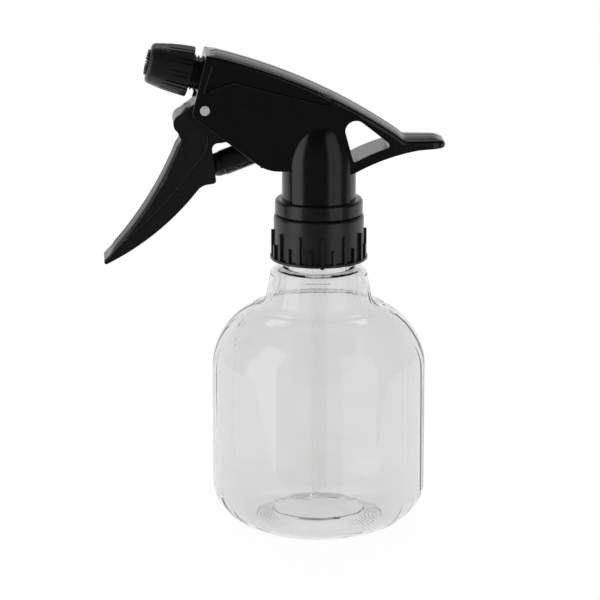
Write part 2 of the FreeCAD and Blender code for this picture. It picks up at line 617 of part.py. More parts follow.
def make_web():
    """The plate between the column's deck and the slanted cylinder."""
    body = new_body("web")
    sketch = outline(new_sketch(body, "web_outline"), [
        ("$pump_web_front", "$pump_deck_top - $pump_joint_lap"),
        ("$pump_web_back", "$pump_deck_top - $pump_joint_lap"),
        ("$pump_web_back", "$pump_deck_top + $pump_web_back_rise"),
        ("$pump_web_front", "$pump_deck_top + $pump_web_front_rise"),
    ])
    pad(body, "web_plate", sketch, "$pump_web_half * 2")
    return body


def elbow_place():
    """Where the riser meets the delivery tube."""
    return ("$spray_rear_x - $spray_elbow * cos($spray_tilt * 1 deg)",
            "$spray_rear_z + $spray_elbow * sin($spray_tilt * 1 deg)")


def slanted_riser(label, radius):
    """A cylinder from the pump chamber's port up to the elbow, with a ball end at the elbow."""
    across, up = elbow_place()
    start = V(worth("$spray_port_x"), 0, worth("$spray_port_z"))
    finish = V(worth(across), 0, worth(up))
    tube = rod(label + "_run", radius, "%.6f" % (finish - start).Length)
    tube.Placement = FreeCAD.Placement(start, FreeCAD.Rotation(V(0, 0, 1), finish - start))
    end = ball(label + "_end", radius)
    end.Placement = FreeCAD.Placement(finish, FreeCAD.Rotation())
    return [tube, end]


def lug_room():
    """Room under the barrel's collar for the top of the trigger to swing."""
    room = rod("lug_room", "$trigger_lug_radius + $pump_lug_clear", "$cover_half_width * 2")
    room.Placement = FreeCAD.Placement(V(0, 0, 0), FreeCAD.Rotation(V(1, 0, 0), 90))
    room.setExpression("Placement.Base.x", bound("$pin_x"))
    room.setExpression("Placement.Base.y", bound("$cover_half_width"))
    room.setExpression("Placement.Base.z", bound("$pin_z"))
    return room


def make_pump_body():
    cylinder = rod("pump_cylinder", "$pump_cylinder_radius", "$pump_end - $pump_mouth")
    lay_along(cylinder, "pump", "$pump_mouth")
    run = "$spray_flange_back + $spray_tube_lap - $spray_elbow"
    delivery = rod("delivery_tube", "$spray_tube_radius", run)
    lay_along(delivery, "spray", "$spray_elbow")
    deck = "$pump_deck_top - $pump_joint_lap"
    solids = [
        make_tower(), make_barrel(), make_web(), cylinder, delivery,
        upright("inlet_riser", "$pump_riser_radius", "$pump_inlet_x", deck,
                "$pump_deck_top + $pump_web_back_rise"),
        upright("vent_boss", "$pump_vent_boss", "$pump_vent_x", deck,
                "$pump_deck_top + $pump_web_front_rise"),
    ] + slanted_riser("riser", "$spray_tube_radius")
    chamber = rod("chamber", "$pump_bore_radius", "$pump_chamber_end - $pump_mouth + $cut_over")
    lay_along(chamber, "pump", "$pump_mouth - $cut_over")
    bore = rod("delivery_bore", "$spray_tube_bore", "$spray_valve_seat + $spray_bore_lap - $spray_elbow")
    lay_along(bore, "spray", "$spray_elbow")
    hollows = [
        chamber, bore,
        upright("inlet_passage", "$pump_inlet_radius", "$pump_inlet_x",
                "$pump_ball_room_top - $pump_joint_lap", "$pump_deck_top + $pump_web_back_rise"),
        upright("vent_hole", "$pump_vent_radius", "$pump_vent_x", "$pump_deck_bottom - $cut_over",
                "$pump_deck_top + $pump_web_front_rise + $cut_over"),
        lug_room(),
    ] + slanted_riser("riser_bore", "$spray_tube_bore")
    return cut_from("pump_body", joined("pump_solids", solids), joined("pump_hollows", hollows))


# ---------------------------------------------------------------- outer cover

def above_line(point, first, last):
    """Whether a point stands above the straight line between two places in the side view."""
    share = (point.x - worth(first[0])) / (worth(last[0]) - worth(first[0]))
    return point.z > worth(first[1]) + share * (worth(last[1]) - worth(first[1])) - 0.05


def on_roof_edge(point):
    """The long edges beside the roof and beside the top of the tail."""
    front = ("$cover_front_top_x", "$cover_front_top_z")
    end = ("$cover_roof_end_x", "$cover_roof_end_z")
    if abs(point.y) < worth("$cover_tail_tip_half") - 0.2 or point.x < worth(front[0]) - 0.01:
        return False
    if point.x <= worth(end[0]) + 0.01:
        return above_line(point, front, end)
    return point.z > worth("$cover_tail_top_z") - 0.1


def on_cheek_edge(point):
    """The side faces' edges down the front, round the chin and along the belly."""
    on_side = abs(abs(point.y) - worth("$cover_half_width")) < 0.01
    return on_side and point.x < worth("$cover_belly_x") + 0.01 and not on_roof_edge(point)


def make_shroud():
    body = new_body("cover_shell")
    roof = ("$cover_front_top_x", "$cover_front_top_z", "$cover_roof_arc", -1)
    cheeks = outline(new_sketch(body, "cheek_outline"), [
        roof,
        ("$cover_roof_end_x", "$cover_roof_end_z", "$cover_roof_end_arc", 1),
        ("$cover_tail_root_x", "$cover_tail_top_z + $cover_tail_rise"),
        ("$cover_tail_top_x", "$cover_tail_top_z", "$cover_tail_tip_arc", -1),
        ("$cover_tail_end_x", "$cover_tail_top_z - $cover_tail_nose_arc", "$cover_tail_nose_arc", -1),
        ("$cover_tail_low_x", "$cover_tail_low_z"),
        ("$cover_tail_under_x", "$cover_tail_under_z", "$cover_tail_under_arc", 1),
        ("$cover_throat_x", "$cover_throat_z"),
        ("$cover_belly_x", "$cover_belly_z", "$cover_belly_arc", -1),
        ("$cover_jaw_x", "$cover_jaw_z"),
        ("$cover_chin_x", "$cover_chin_z", "$cover_chin_arc", -1),
        ("$cover_front_low_x", "$cover_front_low_z"),
    ])
    pad(body, "cheeks", cheeks, "$cover_half_width * 2")
    plan = outline(new_sketch(body, "tail_plan", "XY_Plane", "$cover_tail_low_z - $cover_taper_drop"), [
        ("$cover_tail_taper_x", "$cover_half_width"),
        ("$cover_roof_end_x", "$cover_tail_half"),
        ("$cover_tail_end_x - $cover_tail_corner", "$cover_tail_tip_half", "$cover_tail_corner_arc", -1),
        ("$cover_tail_end_x + $cover_tail_clear", "$cover_tail_tip_half - $cover_tail_corner"),
        ("$cover_tail_end_x + $cut_over", "$cover_tail_tip_half - $cover_tail_corner"),
        ("$cover_tail_end_x + $cut_over", "$cover_half_width + $cut_over"),
        ("$cover_tail_taper_x", "$cover_half_width + $cut_over"),
    ])
    taper = pocket(body, "tail_taper", plan, "$cover_taper_depth", both=False, back=True)
    tapered = mirrored(body, "tail_tapers", [taper])
    rounded = soften(body, "roof_rounds", tapered, on_roof_edge, "$cover_roof_round")
    soften(body, "cheek_rounds", rounded, on_cheek_edge, "$cover_edge_round")
    spin(body, "side_domes", [
        ("0", "$cover_skirt_bottom"),
        ("$cover_dome_radius", "$cover_skirt_bottom"),
        ("$cover_dome_radius", "$cover_dome_base", "$cover_dome_arc", 1),
        ("$cover_dome_top_radius", "$cover_dome_top"),
        ("0", "$cover_dome_top"),
    ])
    beyond = "$cover_dome_radius + $cover_skirt_beyond"
    low = "$cover_skirt_bottom - $cut_over"
    sides = outline(new_sketch(body, "skirt_trim_outline"), [
        ("-(%s)" % beyond, low),
        ("-$cover_skirt_half", low),
        ("-$cover_skirt_half", "$cover_belly_z - $cover_skirt_shelf"),
        ("-(%s)" % beyond, "$cover_belly_z"),
    ])
    outline(sides, [
        ("$cover_skirt_half", low),
        (beyond, low),
        (beyond, "$cover_throat_z + $cover_skirt_rise"),
        ("$cover_skirt_half", "$cover_throat_z"),
    ])
    pocket(body, "skirt_trim", sides, "$cover_dome_radius * 3")
    recess = outline(new_sketch(body, "recess_outline", "XZ_Plane", "$cover_half_width"), [
        ("$cover_recess_front_x", "$cover_recess_top_z"),
        ("$cover_recess_bend_x", "$cover_recess_bend_z"),
        ("$cover_recess_end_x", "$cover_recess_end_z", "$cover_recess_end_arc", -1),
        ("$cover_recess_end_x - $cover_recess_run", "$cover_recess_end_z - $cover_recess_fall"),
        ("$cover_recess_low_x", "$cover_recess_low_z"),
        ("$cover_recess_foot_x", "$cover_recess_foot_z"),
    ])
    hollow = pocket(body, "side_recess", recess, "$cover_recess_depth", both=False)
    mirrored(body, "side_recesses", [hollow])
    window = outline(new_sketch(body, "window_outline"), [
        ("$cover_window_back_x", "$cover_window_back_z"),
        ("$cover_window_foot_x", "$cover_window_foot_z", "$cover_window_foot_arc", 1),
        ("$cover_window_low_x", "$cover_window_low_z", "$cover_window_low_arc", -1),
        ("$cover_window_tip_x", "$cover_window_tip_z", "$cover_window_tip_arc", 1),
        ("$cover_window_nose_x", "$cover_window_nose_z"),
        ("$cover_window_top_x", "$cover_window_top_z", "$cover_window_top_arc", 1),
    ])
    pocket(body, "window", window, "$cover_half_width * 3")
    inside = outline(new_sketch(body, "inside_outline"), [
        ("$cover_hollow_front_x", "$cover_hollow_front_z", "$cover_roof_arc - $cover_wall", -1),
        ("$cover_hollow_back_x", "$cover_hollow_back_z"),
        ("$cover_hollow_waist_x", "$cover_hollow_waist_z"),
        ("$cover_hollow_foot_x", "$cover_hollow_foot_z"),
        ("$cover_hollow_foot_x", "$cover_throat_z - $cover_throat_clear"),
        ("$cover_mouth_low_x", "$cover_throat_z - $cover_throat_clear"),
        ("$cover_mouth_x", "$cover_mouth_z"),
        ("$cover_mouth_x", "$cover_sill_z"),
        ("$cover_lip_x", "$cover_sill_z"),
    ])
    pocket(body, "inside", inside, "$cover_inner_half * 2")
    spin(body, "column_room", [
        ("0", "$cover_skirt_bottom - $cut_over"),
        ("$cover_column_clear", "$cover_skirt_bottom - $cut_over"),
        ("$cover_column_clear", "$pump_deck_top + $cover_deck_clear"),
        ("0", "$pump_deck_top + $cover_deck_clear"),
    ], cut=True)
    eye = ring(new_sketch(body, "pin_eye_outline"), "$pin_x", "$pin_z", "$pin_hole")
    pocket(body, "pin_eyes", eye, "$cover_half_width * 3")
    floor = "$cover_half_width - $cover_recess_depth - $cover_bar_lap"
    bar = outline(new_sketch(body, "bar_outline", "XZ_Plane", floor), [
        ("$cover_bar_front_x", "$cover_bar_front_z"),
        ("$cover_bar_front_x", "$cover_bar_front_z - $cover_bar_height"),
        ("$cover_bar_back_x", "$cover_bar_back_z - $cover_bar_height"),
        ("$cover_bar_back_x", "$cover_bar_back_z"),
    ])
    raised = pad(body, "recess_bar", bar, "$cover_bar_height + $cover_bar_lap", both=False)
    mirrored(body, "recess_bars", [raised])
    wall = new_sketch(body, "stud_outline", "XZ_Plane", "$cover_inner_half")
    stud = ring(wall, "$cover_stud_x", "$cover_stud_z", "$cover_stud_radius")
    reach = "$cover_half_width - $cover_inner_half - $cover_stud_short"
    studs = pad(body, "edge_stud", stud, reach, both=False)
    mirrored(body, "edge_studs", [studs])
    spout = rod("spout_hole", "$cover_barrel_hole", "$cover_spout_depth")
    lay_along(spout, "spray", "$spray_flange_front - $cut_over")
    return cut_from("shroud", body, spout)


# ---------------------------------------------------------------- trigger

def on_grip_front(point):
    """The side faces' edges down the front of the grip, from its knee to its tip."""
    on_side = abs(abs(point.y) - worth("$trigger_front_half")) < 0.01
    knee = ("$trigger_knee_x", "$trigger_knee_z")
    tip = ("$trigger_tip_x", "$trigger_tip_z")
    between = worth(tip[1]) - 0.01 < point.z < worth(knee[1]) + 0.01
    return on_side and between and abs(arc_miss(point, knee, tip, worth("$trigger_front_arc"))) < 0.02


def make_trigger():
    body = new_body("trigger")
    whole = outline(new_sketch(body, "lever_outline"), [
        ("$trigger_crown_x", "$trigger_crown_z"),
        ("$trigger_brow_x", "$trigger_brow_z", "$trigger_brow_arc", 1),
        ("$trigger_cheek_x", "$trigger_cheek_z"),
        ("$trigger_knee_x", "$trigger_knee_z", "$trigger_front_arc", -1),
        ("$trigger_tip_x", "$trigger_tip_z", "$trigger_tip_arc", 1),
        ("$trigger_heel_x", "$trigger_heel_z", "$trigger_back_arc", 1),
        ("$trigger_lap_x", "$trigger_lap_z", "$trigger_lap_arc", -1),
        ("$trigger_foot_x", "$trigger_foot_z"),
        ("$trigger_toe_x", "$trigger_toe_z", "$trigger_toe_arc", 1),
        ("$trigger_toe_back_x", "$trigger_toe_back_z"),
        ("$trigger_hip_x", "$trigger_hip_z", "$trigger_hip_arc", -1),
        ("$trigger_arm_x", "$trigger_arm_z"),
        ("$trigger_arm_back_x", "$trigger_arm_back_z"),
        ("$trigger_arm_up_x", "$trigger_arm_up_z"),
        ("$trigger_top_back_x", "$trigger_top_back_z"),
    ])
    lever = pad(body, "lever", whole, "$trigger_front_half * 2")
    soften(body, "grip_rounds", lever, on_grip_front, "$trigger_grip_round")
    step = outline(new_sketch(body, "step_outline", "XZ_Plane", "$trigger_front_half"), [
        ("$trigger_heel_x - $trigger_heel_beyond", "$trigger_heel_z - $trigger_heel_beyond"),
        ("$trigger_heel_x - $trigger_heel_nick", "$trigger_heel_z + $trigger_heel_rise"),
        ("$trigger_step_tip_x", "$trigger_step_tip_z", "$trigger_step_arc", 1),
        ("$trigger_step_x", "$trigger_step_z"),
        ("$trigger_step_bend_x", "$trigger_step_bend_z", "$trigger_step_bend_arc", 1),
        ("$trigger_step_up_x", "$trigger_step_up_z"),
        ("$trigger_step_top_x", "$trigger_step_top_z"),
        ("$trigger_pocket_back", "$trigger_step_top_z"),
        ("$trigger_pocket_back", "$trigger_heel_z - $trigger_heel_beyond"),
    ])
    stepped = pocket(body, "side_step", step, "$trigger_front_half - $trigger_half_width", both=False)
    mirrored(body, "side_steps", [stepped])
    lug = ring(new_sketch(body, "lug_outline"), "$pin_x", "$pin_z", "$trigger_lug_radius")
    pad(body, "lug", lug, "$trigger_front_half * 2")
    socket = outline(new_sketch(body, "socket_outline"), [
        ("$trigger_pad_top_x", "$trigger_pad_top_z"),
        ("$trigger_pad_low_x", "$trigger_pocket_low"),
        ("$trigger_pocket_back", "$trigger_pocket_low"),
        ("$trigger_pocket_back", "$trigger_pocket_top"),
        ("$trigger_pocket_x", "$trigger_pocket_top"),
    ])
    pocket(body, "piston_socket", socket, "$trigger_inner_half * 2")
    channel = outline(new_sketch(body, "channel_outline"), [
        ("$trigger_channel_x", "$trigger_channel_z", "$trigger_front_arc - $trigger_skin", -1),
        ("$trigger_channel_tip_x", "$trigger_channel_tip_z"),
        ("$trigger_channel_out_x", "$trigger_channel_out_z"),
        ("$trigger_channel_end_x", "$trigger_channel_end_z"),
        ("$trigger_channel_back_x", "$trigger_channel_back_z"),
    ])
    pocket(body, "channel", channel, "$trigger_inner_half * 2")
    eye = ring(new_sketch(body, "pivot_eye_outline"), "$pin_x", "$pin_z", "$pin_trigger_hole")
    pocket(body, "pivot_eye", eye, "$trigger_front_half * 3")
    return body


def make_trigger_pin():
    pin = rod("trigger_pin", "$pin_radius", "$cover_half_width * 2")
    pin.Placement = FreeCAD.Placement(V(0, 0, 0), FreeCAD.Rotation(V(1, 0, 0), 90))
    pin.setExpression("Placement.Base.x", bound("$pin_x"))
    pin.setExpression("Placement.Base.y", bound("$cover_half_width"))
    pin.setExpression("Placement.Base.z", bound("$pin_z"))
    return pin


# ---------------------------------------------------------------- pump parts

def make_piston():
    body = new_body("piston")
    end = "$piston_end_radius"
    tip = "$trigger_pad_offset + $piston_end_gap"
    groove = "$piston_groove_radius"
    head = "$piston_head_radius"
    profile = [
        ("0", tip, end, 1),
        (end, "%s + %s" % (tip, end)),
        (end, "$piston_ring_at"),
        ("$piston_rod_radius", "$piston_ring_at + $piston_end_nick"),
        ("$piston_rod_radius", "$piston_head_front"),
        (head, "$piston_head_front"),
    ]
    for start in ("$piston_front_seal", "$piston_back_seal"):
        profile += [
            (head, start),
            (groove, start),
            (groove, "%s + $piston_seal_width" % start),
            (head, "%s + $piston_seal_width" % start),
        ]
    profile += [
        (head, "$piston_head_back"),
        ("$piston_pocket_radius", "$piston_head_back"),
        ("$piston_pocket_radius", "$piston_head_back - $piston_spring_pocket"),
        ("0", "$piston_head_back - $piston_spring_pocket"),
    ]
    spin(body, "piston_turned", profile)
    return lay_along(body, "pump")


def make_piston_seal(label, start):
    """A soft lip ring in one of the piston's grooves."""
    body = new_body(label)
    lip = "$piston_seal_lip"
    gap = "$piston_seal_gap"
    inner = "$piston_groove_radius + %s" % gap
    low = "%s + %s" % (start, gap)
    high = "%s + $piston_seal_width - %s" % (start, gap)
    spin(body, label + "_turned", [
        (inner, low),
        ("$piston_seal_outer - %s" % lip, low),
        ("$piston_seal_outer", "%s + %s" % (low, lip)),
        ("$piston_seal_outer", "%s - %s" % (high, lip)),
        ("$piston_seal_outer - %s" % lip, high),
        (inner, high),
    ])
    return lay_along(body, "pump")


def make_coil(label, group, line, low, high):
    """A round-wire compression spring wound along one of the slanted lines."""
    path = doc.addObject("Part::Helix", label + "_path")
    path.setExpression("Radius", bound("$%s_radius" % group))
    path.setExpression("Height", bound("(%s) - (%s)" % (high, low)))
    path.setExpression("Pitch", bound("((%s) - (%s)) / $%s_turns" % (high, low, group)))
    section = doc.addObject("Part::Circle", label + "_section")
    section.setExpression("Radius", bound("$%s_wire" % group))
    section.Placement = FreeCAD.Placement(V(0, 0, 0), FreeCAD.Rotation(V(1, 0, 0), 90))
    section.setExpression("Placement.Base.x", bound("$%s_radius" % group))
    coil = doc.addObject("Part::Sweep", label)
    coil.Sections = [section]
    coil.Spine = (path, [])
    coil.Solid = True
    coil.Frenet = True
    return lay_along(coil, line, low)


def make_tube_retainer():
    body = new_body("tube_retainer")
    spin(body, "retainer_turned", [
        ("$retainer_tube_bore", "$retainer_nipple_bottom"),
        ("$retainer_nipple_radius - $retainer_nipple_nick", "$retainer_nipple_bottom"),
        ("$retainer_nipple_radius", "$retainer_nipple_bottom + $retainer_nipple_nick"),
        ("$retainer_nipple_radius", "$retainer_flange_bottom"),
        ("$retainer_flange_radius", "$retainer_flange_bottom"),
        ("$retainer_flange_radius", "$pump_socket_bottom - $retainer_clear"),
        ("$retainer_plug_radius", "$pump_socket_bottom - $retainer_clear"),
        ("$retainer_plug_radius", "$pump_socket_top - $retainer_clear"),
        ("$pump_ball_room_radius", "$pump_socket_top - $retainer_clear"),
        ("$retainer_seat_bore", "$retainer_seat_low"),
        ("$retainer_seat_bore", "$retainer_tube_stop"),
        ("$retainer_tube_bore", "$retainer_tube_stop"),
    ])
    return body


def make_inlet_ball():
    item = ball("inlet_ball", "$ball_radius")
    item.setExpression("Placement.Base.z", bound("$ball_centre_z"))
    return item


def make_outlet_ball():
    return lay_along(ball("outlet_ball", "$ball_outlet_radius"), "spray", "$ball_outlet_at")


def make_dip_tube():
    body = new_body("dip_tube")
    foot = new_sketch(body, "tube_outline", "XY_Plane", "$tube_bottom")
    sketch = ring(foot, "$tube_centre_x", "0", "$tube_outer")
    ring(sketch, "$tube_centre_x", "0", "$tube_inner")
    pad(body, "tube_run", sketch, "$tube_top - $tube_bottom", both=False)
    slant = outline(new_sketch(body, "slant_outline"), [
        ("-$tube_outer - $cut_over", "$tube_bottom - $cut_over"),
        ("$tube_outer + $cut_over", "$tube_bottom - $cut_over"),
        ("$tube_outer + $cut_over", "$tube_bottom + $tube_slant + $tube_slant_shift"),
        ("-$tube_outer - $cut_over", "$tube_bottom - $tube_slant_shift"),
    ])
    pocket(body, "slant_cut", slant, "$tube_outer * 4")
    return body


# ---------------------------------------------------------------- nozzle parts

def make_spinner():
    """The plug that sets the water turning before it reaches the orifice."""
    body = new_body("nozzle_spinner")
    radius = "$spray_spinner_bore - $spinner_side_clear"
    tail = "$spray_spinner_back + $spinner_end_clear"
    shoulder = "%s + $spinner_tail_length" % tail
    front = "$spray_barrel_front - $spinner_end_clear"
    spin(body, "spinner_turned", [
        ("0", tail),
        ("$spinner_tail_radius", tail),
        ("$spinner_tail_radius", shoulder),
        (radius, shoulder),
        (radius, front),
        ("0", front),
    ])
    flute = outline(new_sketch(body, "flute_outline", "XY_Plane", "$spray_spinner_back"), [
        ("$spinner_flute_floor", "-$spinner_flute_half"),
        ("$spinner_flute_out", "-$spinner_flute_half"),
        ("$spinner_flute_out", "$spinner_flute_half"),
        ("$spinner_flute_floor", "$spinner_flute_half"),
    ])
    run = "$spray_barrel_front - $spray_spinner_back - $spinner_web"
    flutes = pocket(body, "flute", flute, run, both=False, back=True)
    around(body, "flutes", [flutes], "$spinner_flute_count")
    return lay_along(body, "spray")


def make_nozzle_cap():
    body = new_body("nozzle_cap")
    spin(body, "nozzle_turned", [
        ("$nozzle_thread_bore", "0"),
        ("$nozzle_rear_radius - $nozzle_rear_nick", "0"),
        ("$nozzle_rear_radius", "$nozzle_rear_nick", "$nozzle_side_arc", 1),
        ("$nozzle_front_radius", "$nozzle_shoulder_at", "$nozzle_brow_arc", 1),
        ("$nozzle_face_radius", "$nozzle_length"),
        ("$nozzle_insert_radius + $insert_clear", "$nozzle_length"),
        ("$nozzle_insert_radius + $insert_clear", "$nozzle_insert_back"),
        ("$nozzle_throat", "$nozzle_insert_back"),
        ("$nozzle_throat", "$nozzle_inner_face"),
        ("$nozzle_slide_bore", "$nozzle_inner_face"),
        ("$nozzle_slide_bore", "$nozzle_seal_front"),
        ("$nozzle_seal_groove", "$nozzle_seal_front"),
        ("$nozzle_seal_groove", "$nozzle_seal_back"),
        ("$nozzle_slide_bore", "$nozzle_seal_back"),
        ("$nozzle_slide_bore", "$nozzle_thread_depth"),
        ("$nozzle_thread_bore", "$nozzle_thread_depth"),
    ])
    sketch = new_sketch(body, "grip_groove_outline", "XY_Plane", "-$cut_over")
    for side in ("-", ""):
        middle = "%s$nozzle_groove_step" % side
        outline(sketch, [
            ("$nozzle_groove_floor", "%s - $nozzle_groove_width / 2" % middle),
            ("$nozzle_rear_radius + $cut_over", "%s - $nozzle_groove_width / 2" % middle),
            ("$nozzle_rear_radius + $cut_over", "%s + $nozzle_groove_width / 2" % middle),
            ("$nozzle_groove_floor", "%s + $nozzle_groove_width / 2" % middle),
        ])
    groove = pocket(body, "grip_groove", sketch, "$nozzle_shoulder_at", both=False, back=True)
    around(body, "grip_grooves", [groove], "$nozzle_groove_count")
    return lay_along(body, "spray")


def make_orifice_insert():
    body = new_body("orifice_insert")
    front = "$nozzle_length + $nozzle_insert_proud"
    spin(body, "insert_turned", [
        ("$nozzle_orifice", "$nozzle_insert_back + $insert_back_clear"),
        ("$nozzle_insert_radius", "$nozzle_insert_back + $insert_back_clear"),
        ("$nozzle_insert_radius", front),
        ("$nozzle_insert_radius - $insert_rim", front),
        ("$nozzle_insert_radius - $insert_rim - $insert_dish_step", "%s - $insert_dish" % front),
        ("$insert_cone_radius", "%s - $insert_dish" % front),
        ("$nozzle_orifice", "%s - $insert_dish - $insert_cone_depth" % front),
    ])
    tooth = outline(new_sketch(body, "tooth_gap_outline", "XY_Plane", front), [
        ("$nozzle_insert_radius - $insert_tooth_in", "-$insert_tooth_half"),
        ("$nozzle_insert_radius + $insert_tooth_out", "-$insert_tooth_half"),
        ("$nozzle_insert_radius + $insert_tooth_out", "$insert_tooth_half"),
        ("$nozzle_insert_radius - $insert_tooth_in", "$insert_tooth_half"),
    ])
    gap = pocket(body, "tooth_gap", tooth, "$nozzle_insert_proud - $insert_tooth_floor", both=False)
    around(body, "tooth_gaps", [gap], "$insert_tooth_count")
    return lay_along(body, "spray")


def make_o_ring():
    torus = doc.addObject("Part::Torus", "nozzle_o_ring")
    torus.setExpression("Radius1", bound("$oring_centre_radius"))
    torus.setExpression("Radius2", bound("$oring_section_radius"))
    return lay_along(torus, "spray", "$oring_at")


# ---------------------------------------------------------------- all pieces, then the files

def main():
    pieces = [
        make_bottle(),
        make_screw_cap(),
        make_gasket(),
        make_pump_body(),
        make_shroud(),
        make_trigger(),
        make_trigger_pin(),
        make_piston(),
        make_piston_seal("piston_front_seal", "$piston_front_seal"),
        make_piston_seal("piston_back_seal", "$piston_back_seal"),
        make_coil("return_spring", "spring", "pump", "$piston_head_back - $piston_spring_seat",
                  "$pump_chamber_end - $piston_spring_stop"),
        make_tube_retainer(),
        make_inlet_ball(),
        make_dip_tube(),
        make_outlet_ball(),
        make_coil("outlet_spring", "outlet_spring", "spray", "$outlet_spring_back", "$outlet_spring_front"),
        make_spinner(),
        make_nozzle_cap(),
        make_orifice_insert(),
        make_o_ring(),
    ]
    doc.recompute()
    for item in doc.Objects:
        if "Invalid" in item.State or "Error" in item.State:
            raise RuntimeError("%s failed: %s" % (item.Label, item.getStatusString()))
    for piece in pieces:
        shape = piece.Shape
        if shape.isNull() or not shape.isValid():
            raise RuntimeError("%s has no valid shape" % piece.Label)
        box = shape.optimalBoundingBox()
        print("%-18s solids %d  volume %9.2f mm3  box %6.1f %6.1f %6.1f to %6.1f %6.1f %6.1f" % (
            piece.Label, len(shape.Solids), shape.Volume, box.XMin, box.YMin, box.ZMin,
            box.XMax, box.YMax, box.ZMax))
        shape.exportStep("parts/%s.step" % piece.Label)


main()
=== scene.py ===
import json
import math

import bpy
from mathutils import Matrix, Vector


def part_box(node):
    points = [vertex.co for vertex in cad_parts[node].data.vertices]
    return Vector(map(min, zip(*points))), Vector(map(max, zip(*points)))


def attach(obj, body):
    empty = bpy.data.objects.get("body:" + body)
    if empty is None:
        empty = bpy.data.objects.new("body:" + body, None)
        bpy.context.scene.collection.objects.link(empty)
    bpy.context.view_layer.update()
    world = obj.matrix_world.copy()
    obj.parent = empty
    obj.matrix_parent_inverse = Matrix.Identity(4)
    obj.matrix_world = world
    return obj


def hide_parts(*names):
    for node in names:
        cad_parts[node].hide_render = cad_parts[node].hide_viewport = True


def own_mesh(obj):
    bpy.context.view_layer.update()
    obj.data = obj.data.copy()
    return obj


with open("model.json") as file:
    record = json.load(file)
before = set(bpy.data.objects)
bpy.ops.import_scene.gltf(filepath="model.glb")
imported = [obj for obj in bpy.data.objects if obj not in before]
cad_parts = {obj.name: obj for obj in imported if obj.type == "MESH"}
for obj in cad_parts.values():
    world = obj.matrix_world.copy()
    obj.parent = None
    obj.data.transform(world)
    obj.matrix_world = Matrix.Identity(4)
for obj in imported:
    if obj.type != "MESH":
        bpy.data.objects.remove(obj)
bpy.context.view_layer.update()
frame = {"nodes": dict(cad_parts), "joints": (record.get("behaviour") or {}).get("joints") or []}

MM = 0.001
FULL_TURN = 2 * math.pi


# ---------------------------------------------------------------- places taken from the frame

def joint(name):
    """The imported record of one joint."""
    return next(j for j in frame["joints"] if j["name"] == name)


bottle_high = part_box("bottle")[1]
wall_radius = bottle_high.x
finish_top = bottle_high.z
pump_axis = Vector(joint("piston_stroke")["axis"])
spray_axis = Vector(joint("nozzle_travel")["axis"])


# ---------------------------------------------------------------- camera, floor and light

CAMERA_PLACE = Vector((-0.08709, -1.1472, 0.38324))
CAMERA_AIM = Vector((-0.00687, 0.0, 0.08369))
CAMERA_LENS = 194.8
SENSOR_WIDTH = 36.0
FAR_CLIP = 20.0

FLOOR_SIDE = 4.0
FLOOR_FRONT = -0.09
FLOOR_COLOR = (0.12, 0.12, 0.12, 1)
FLOOR_ROUGH = 0.9
FLOOR_GLOSS = 0.1
FLOOR_GLOW = 0.95
WHITE = (1, 1, 1, 1)

SKY_FRONT = 0.14
SKY_BACK = 1.0
SKY_BACK_RANGE = (-0.1, 0.95)
SKY_TOP_SHARE = 0.3
SKY_TOP_RANGE = (0.2, 0.65)

LIGHT_AIM = (0.0, 0.0, 0.13)
SOFTBOXES = {
    # name: place, width, height, watts
    "left_softbox": ((-1.1, -0.45, 0.20), 0.75, 2.2, 9.0),
    "right_softbox": ((0.85, -0.95, 0.20), 0.9, 2.2, 5.6),
    "top_softbox": ((0.0, 0.55, 1.15), 1.2, 0.5, 3.0),
}


def add_camera():
    camera = bpy.data.cameras.new("camera")
    camera.lens = CAMERA_LENS
    camera.sensor_width = SENSOR_WIDTH
    camera.clip_end = FAR_CLIP
    holder = bpy.data.objects.new("camera", camera)
    holder.location = CAMERA_PLACE
    holder.rotation_euler = (CAMERA_AIM - CAMERA_PLACE).to_track_quat("-Z", "Y").to_euler()
    bpy.context.scene.collection.objects.link(holder)
    bpy.context.scene.camera = holder


def add_mesh(name, points, faces, material, smooth=True):
    mesh = bpy.data.meshes.new(name)
    mesh.from_pydata([tuple(p) for p in points], [], faces)
    mesh.update()
    mesh.materials.append(material)
    mesh.polygons.foreach_set("use_smooth", [smooth] * len(mesh.polygons))
    piece = bpy.data.objects.new(name, mesh)
    bpy.context.scene.collection.objects.link(piece)
    return piece


def ring_faces(rings, count, turned=False):
    """Quads between neighbouring rings of count points each."""
    faces = []
    for ring in range(rings - 1):
        a, b = ring * count, (ring + 1) * count
        for i in range(count):
            j = (i + 1) % count
            faces.append((a + i, b + i, b + j, a + j) if turned else (a + i, a + j, b + j, b + i))
    return faces


def add_floor():
    """A table lit so evenly that it shows no edge behind the object."""
    material, nodes, links, surface = new_material("studio_white")
    surface.inputs["Base Color"].default_value = FLOOR_COLOR
    surface.inputs["Roughness"].default_value = FLOOR_ROUGH
    surface.inputs["Specular IOR Level"].default_value = FLOOR_GLOSS
    surface.inputs["Emission Color"].default_value = WHITE
    surface.inputs["Emission Strength"].default_value = FLOOR_GLOW
    side, front = FLOOR_SIDE, FLOOR_FRONT
    corners = [(-side, front, 0), (side, front, 0), (side, side, 0), (-side, side, 0)]
    floor = add_mesh("floor", corners, [(0, 1, 2, 3)], material)


def add_softbox(name, place, width, height, watts):
    lamp = bpy.data.lights.new(name, "AREA")
    lamp.shape = "RECTANGLE"
    lamp.size = width
    lamp.size_y = height
    lamp.energy = watts
    holder = bpy.data.objects.new(name, lamp)
    holder.location = place
    holder.rotation_euler = (Vector(LIGHT_AIM) - Vector(place)).to_track_quat("-Z", "Y").to_euler()
    bpy.context.scene.collection.objects.link(holder)


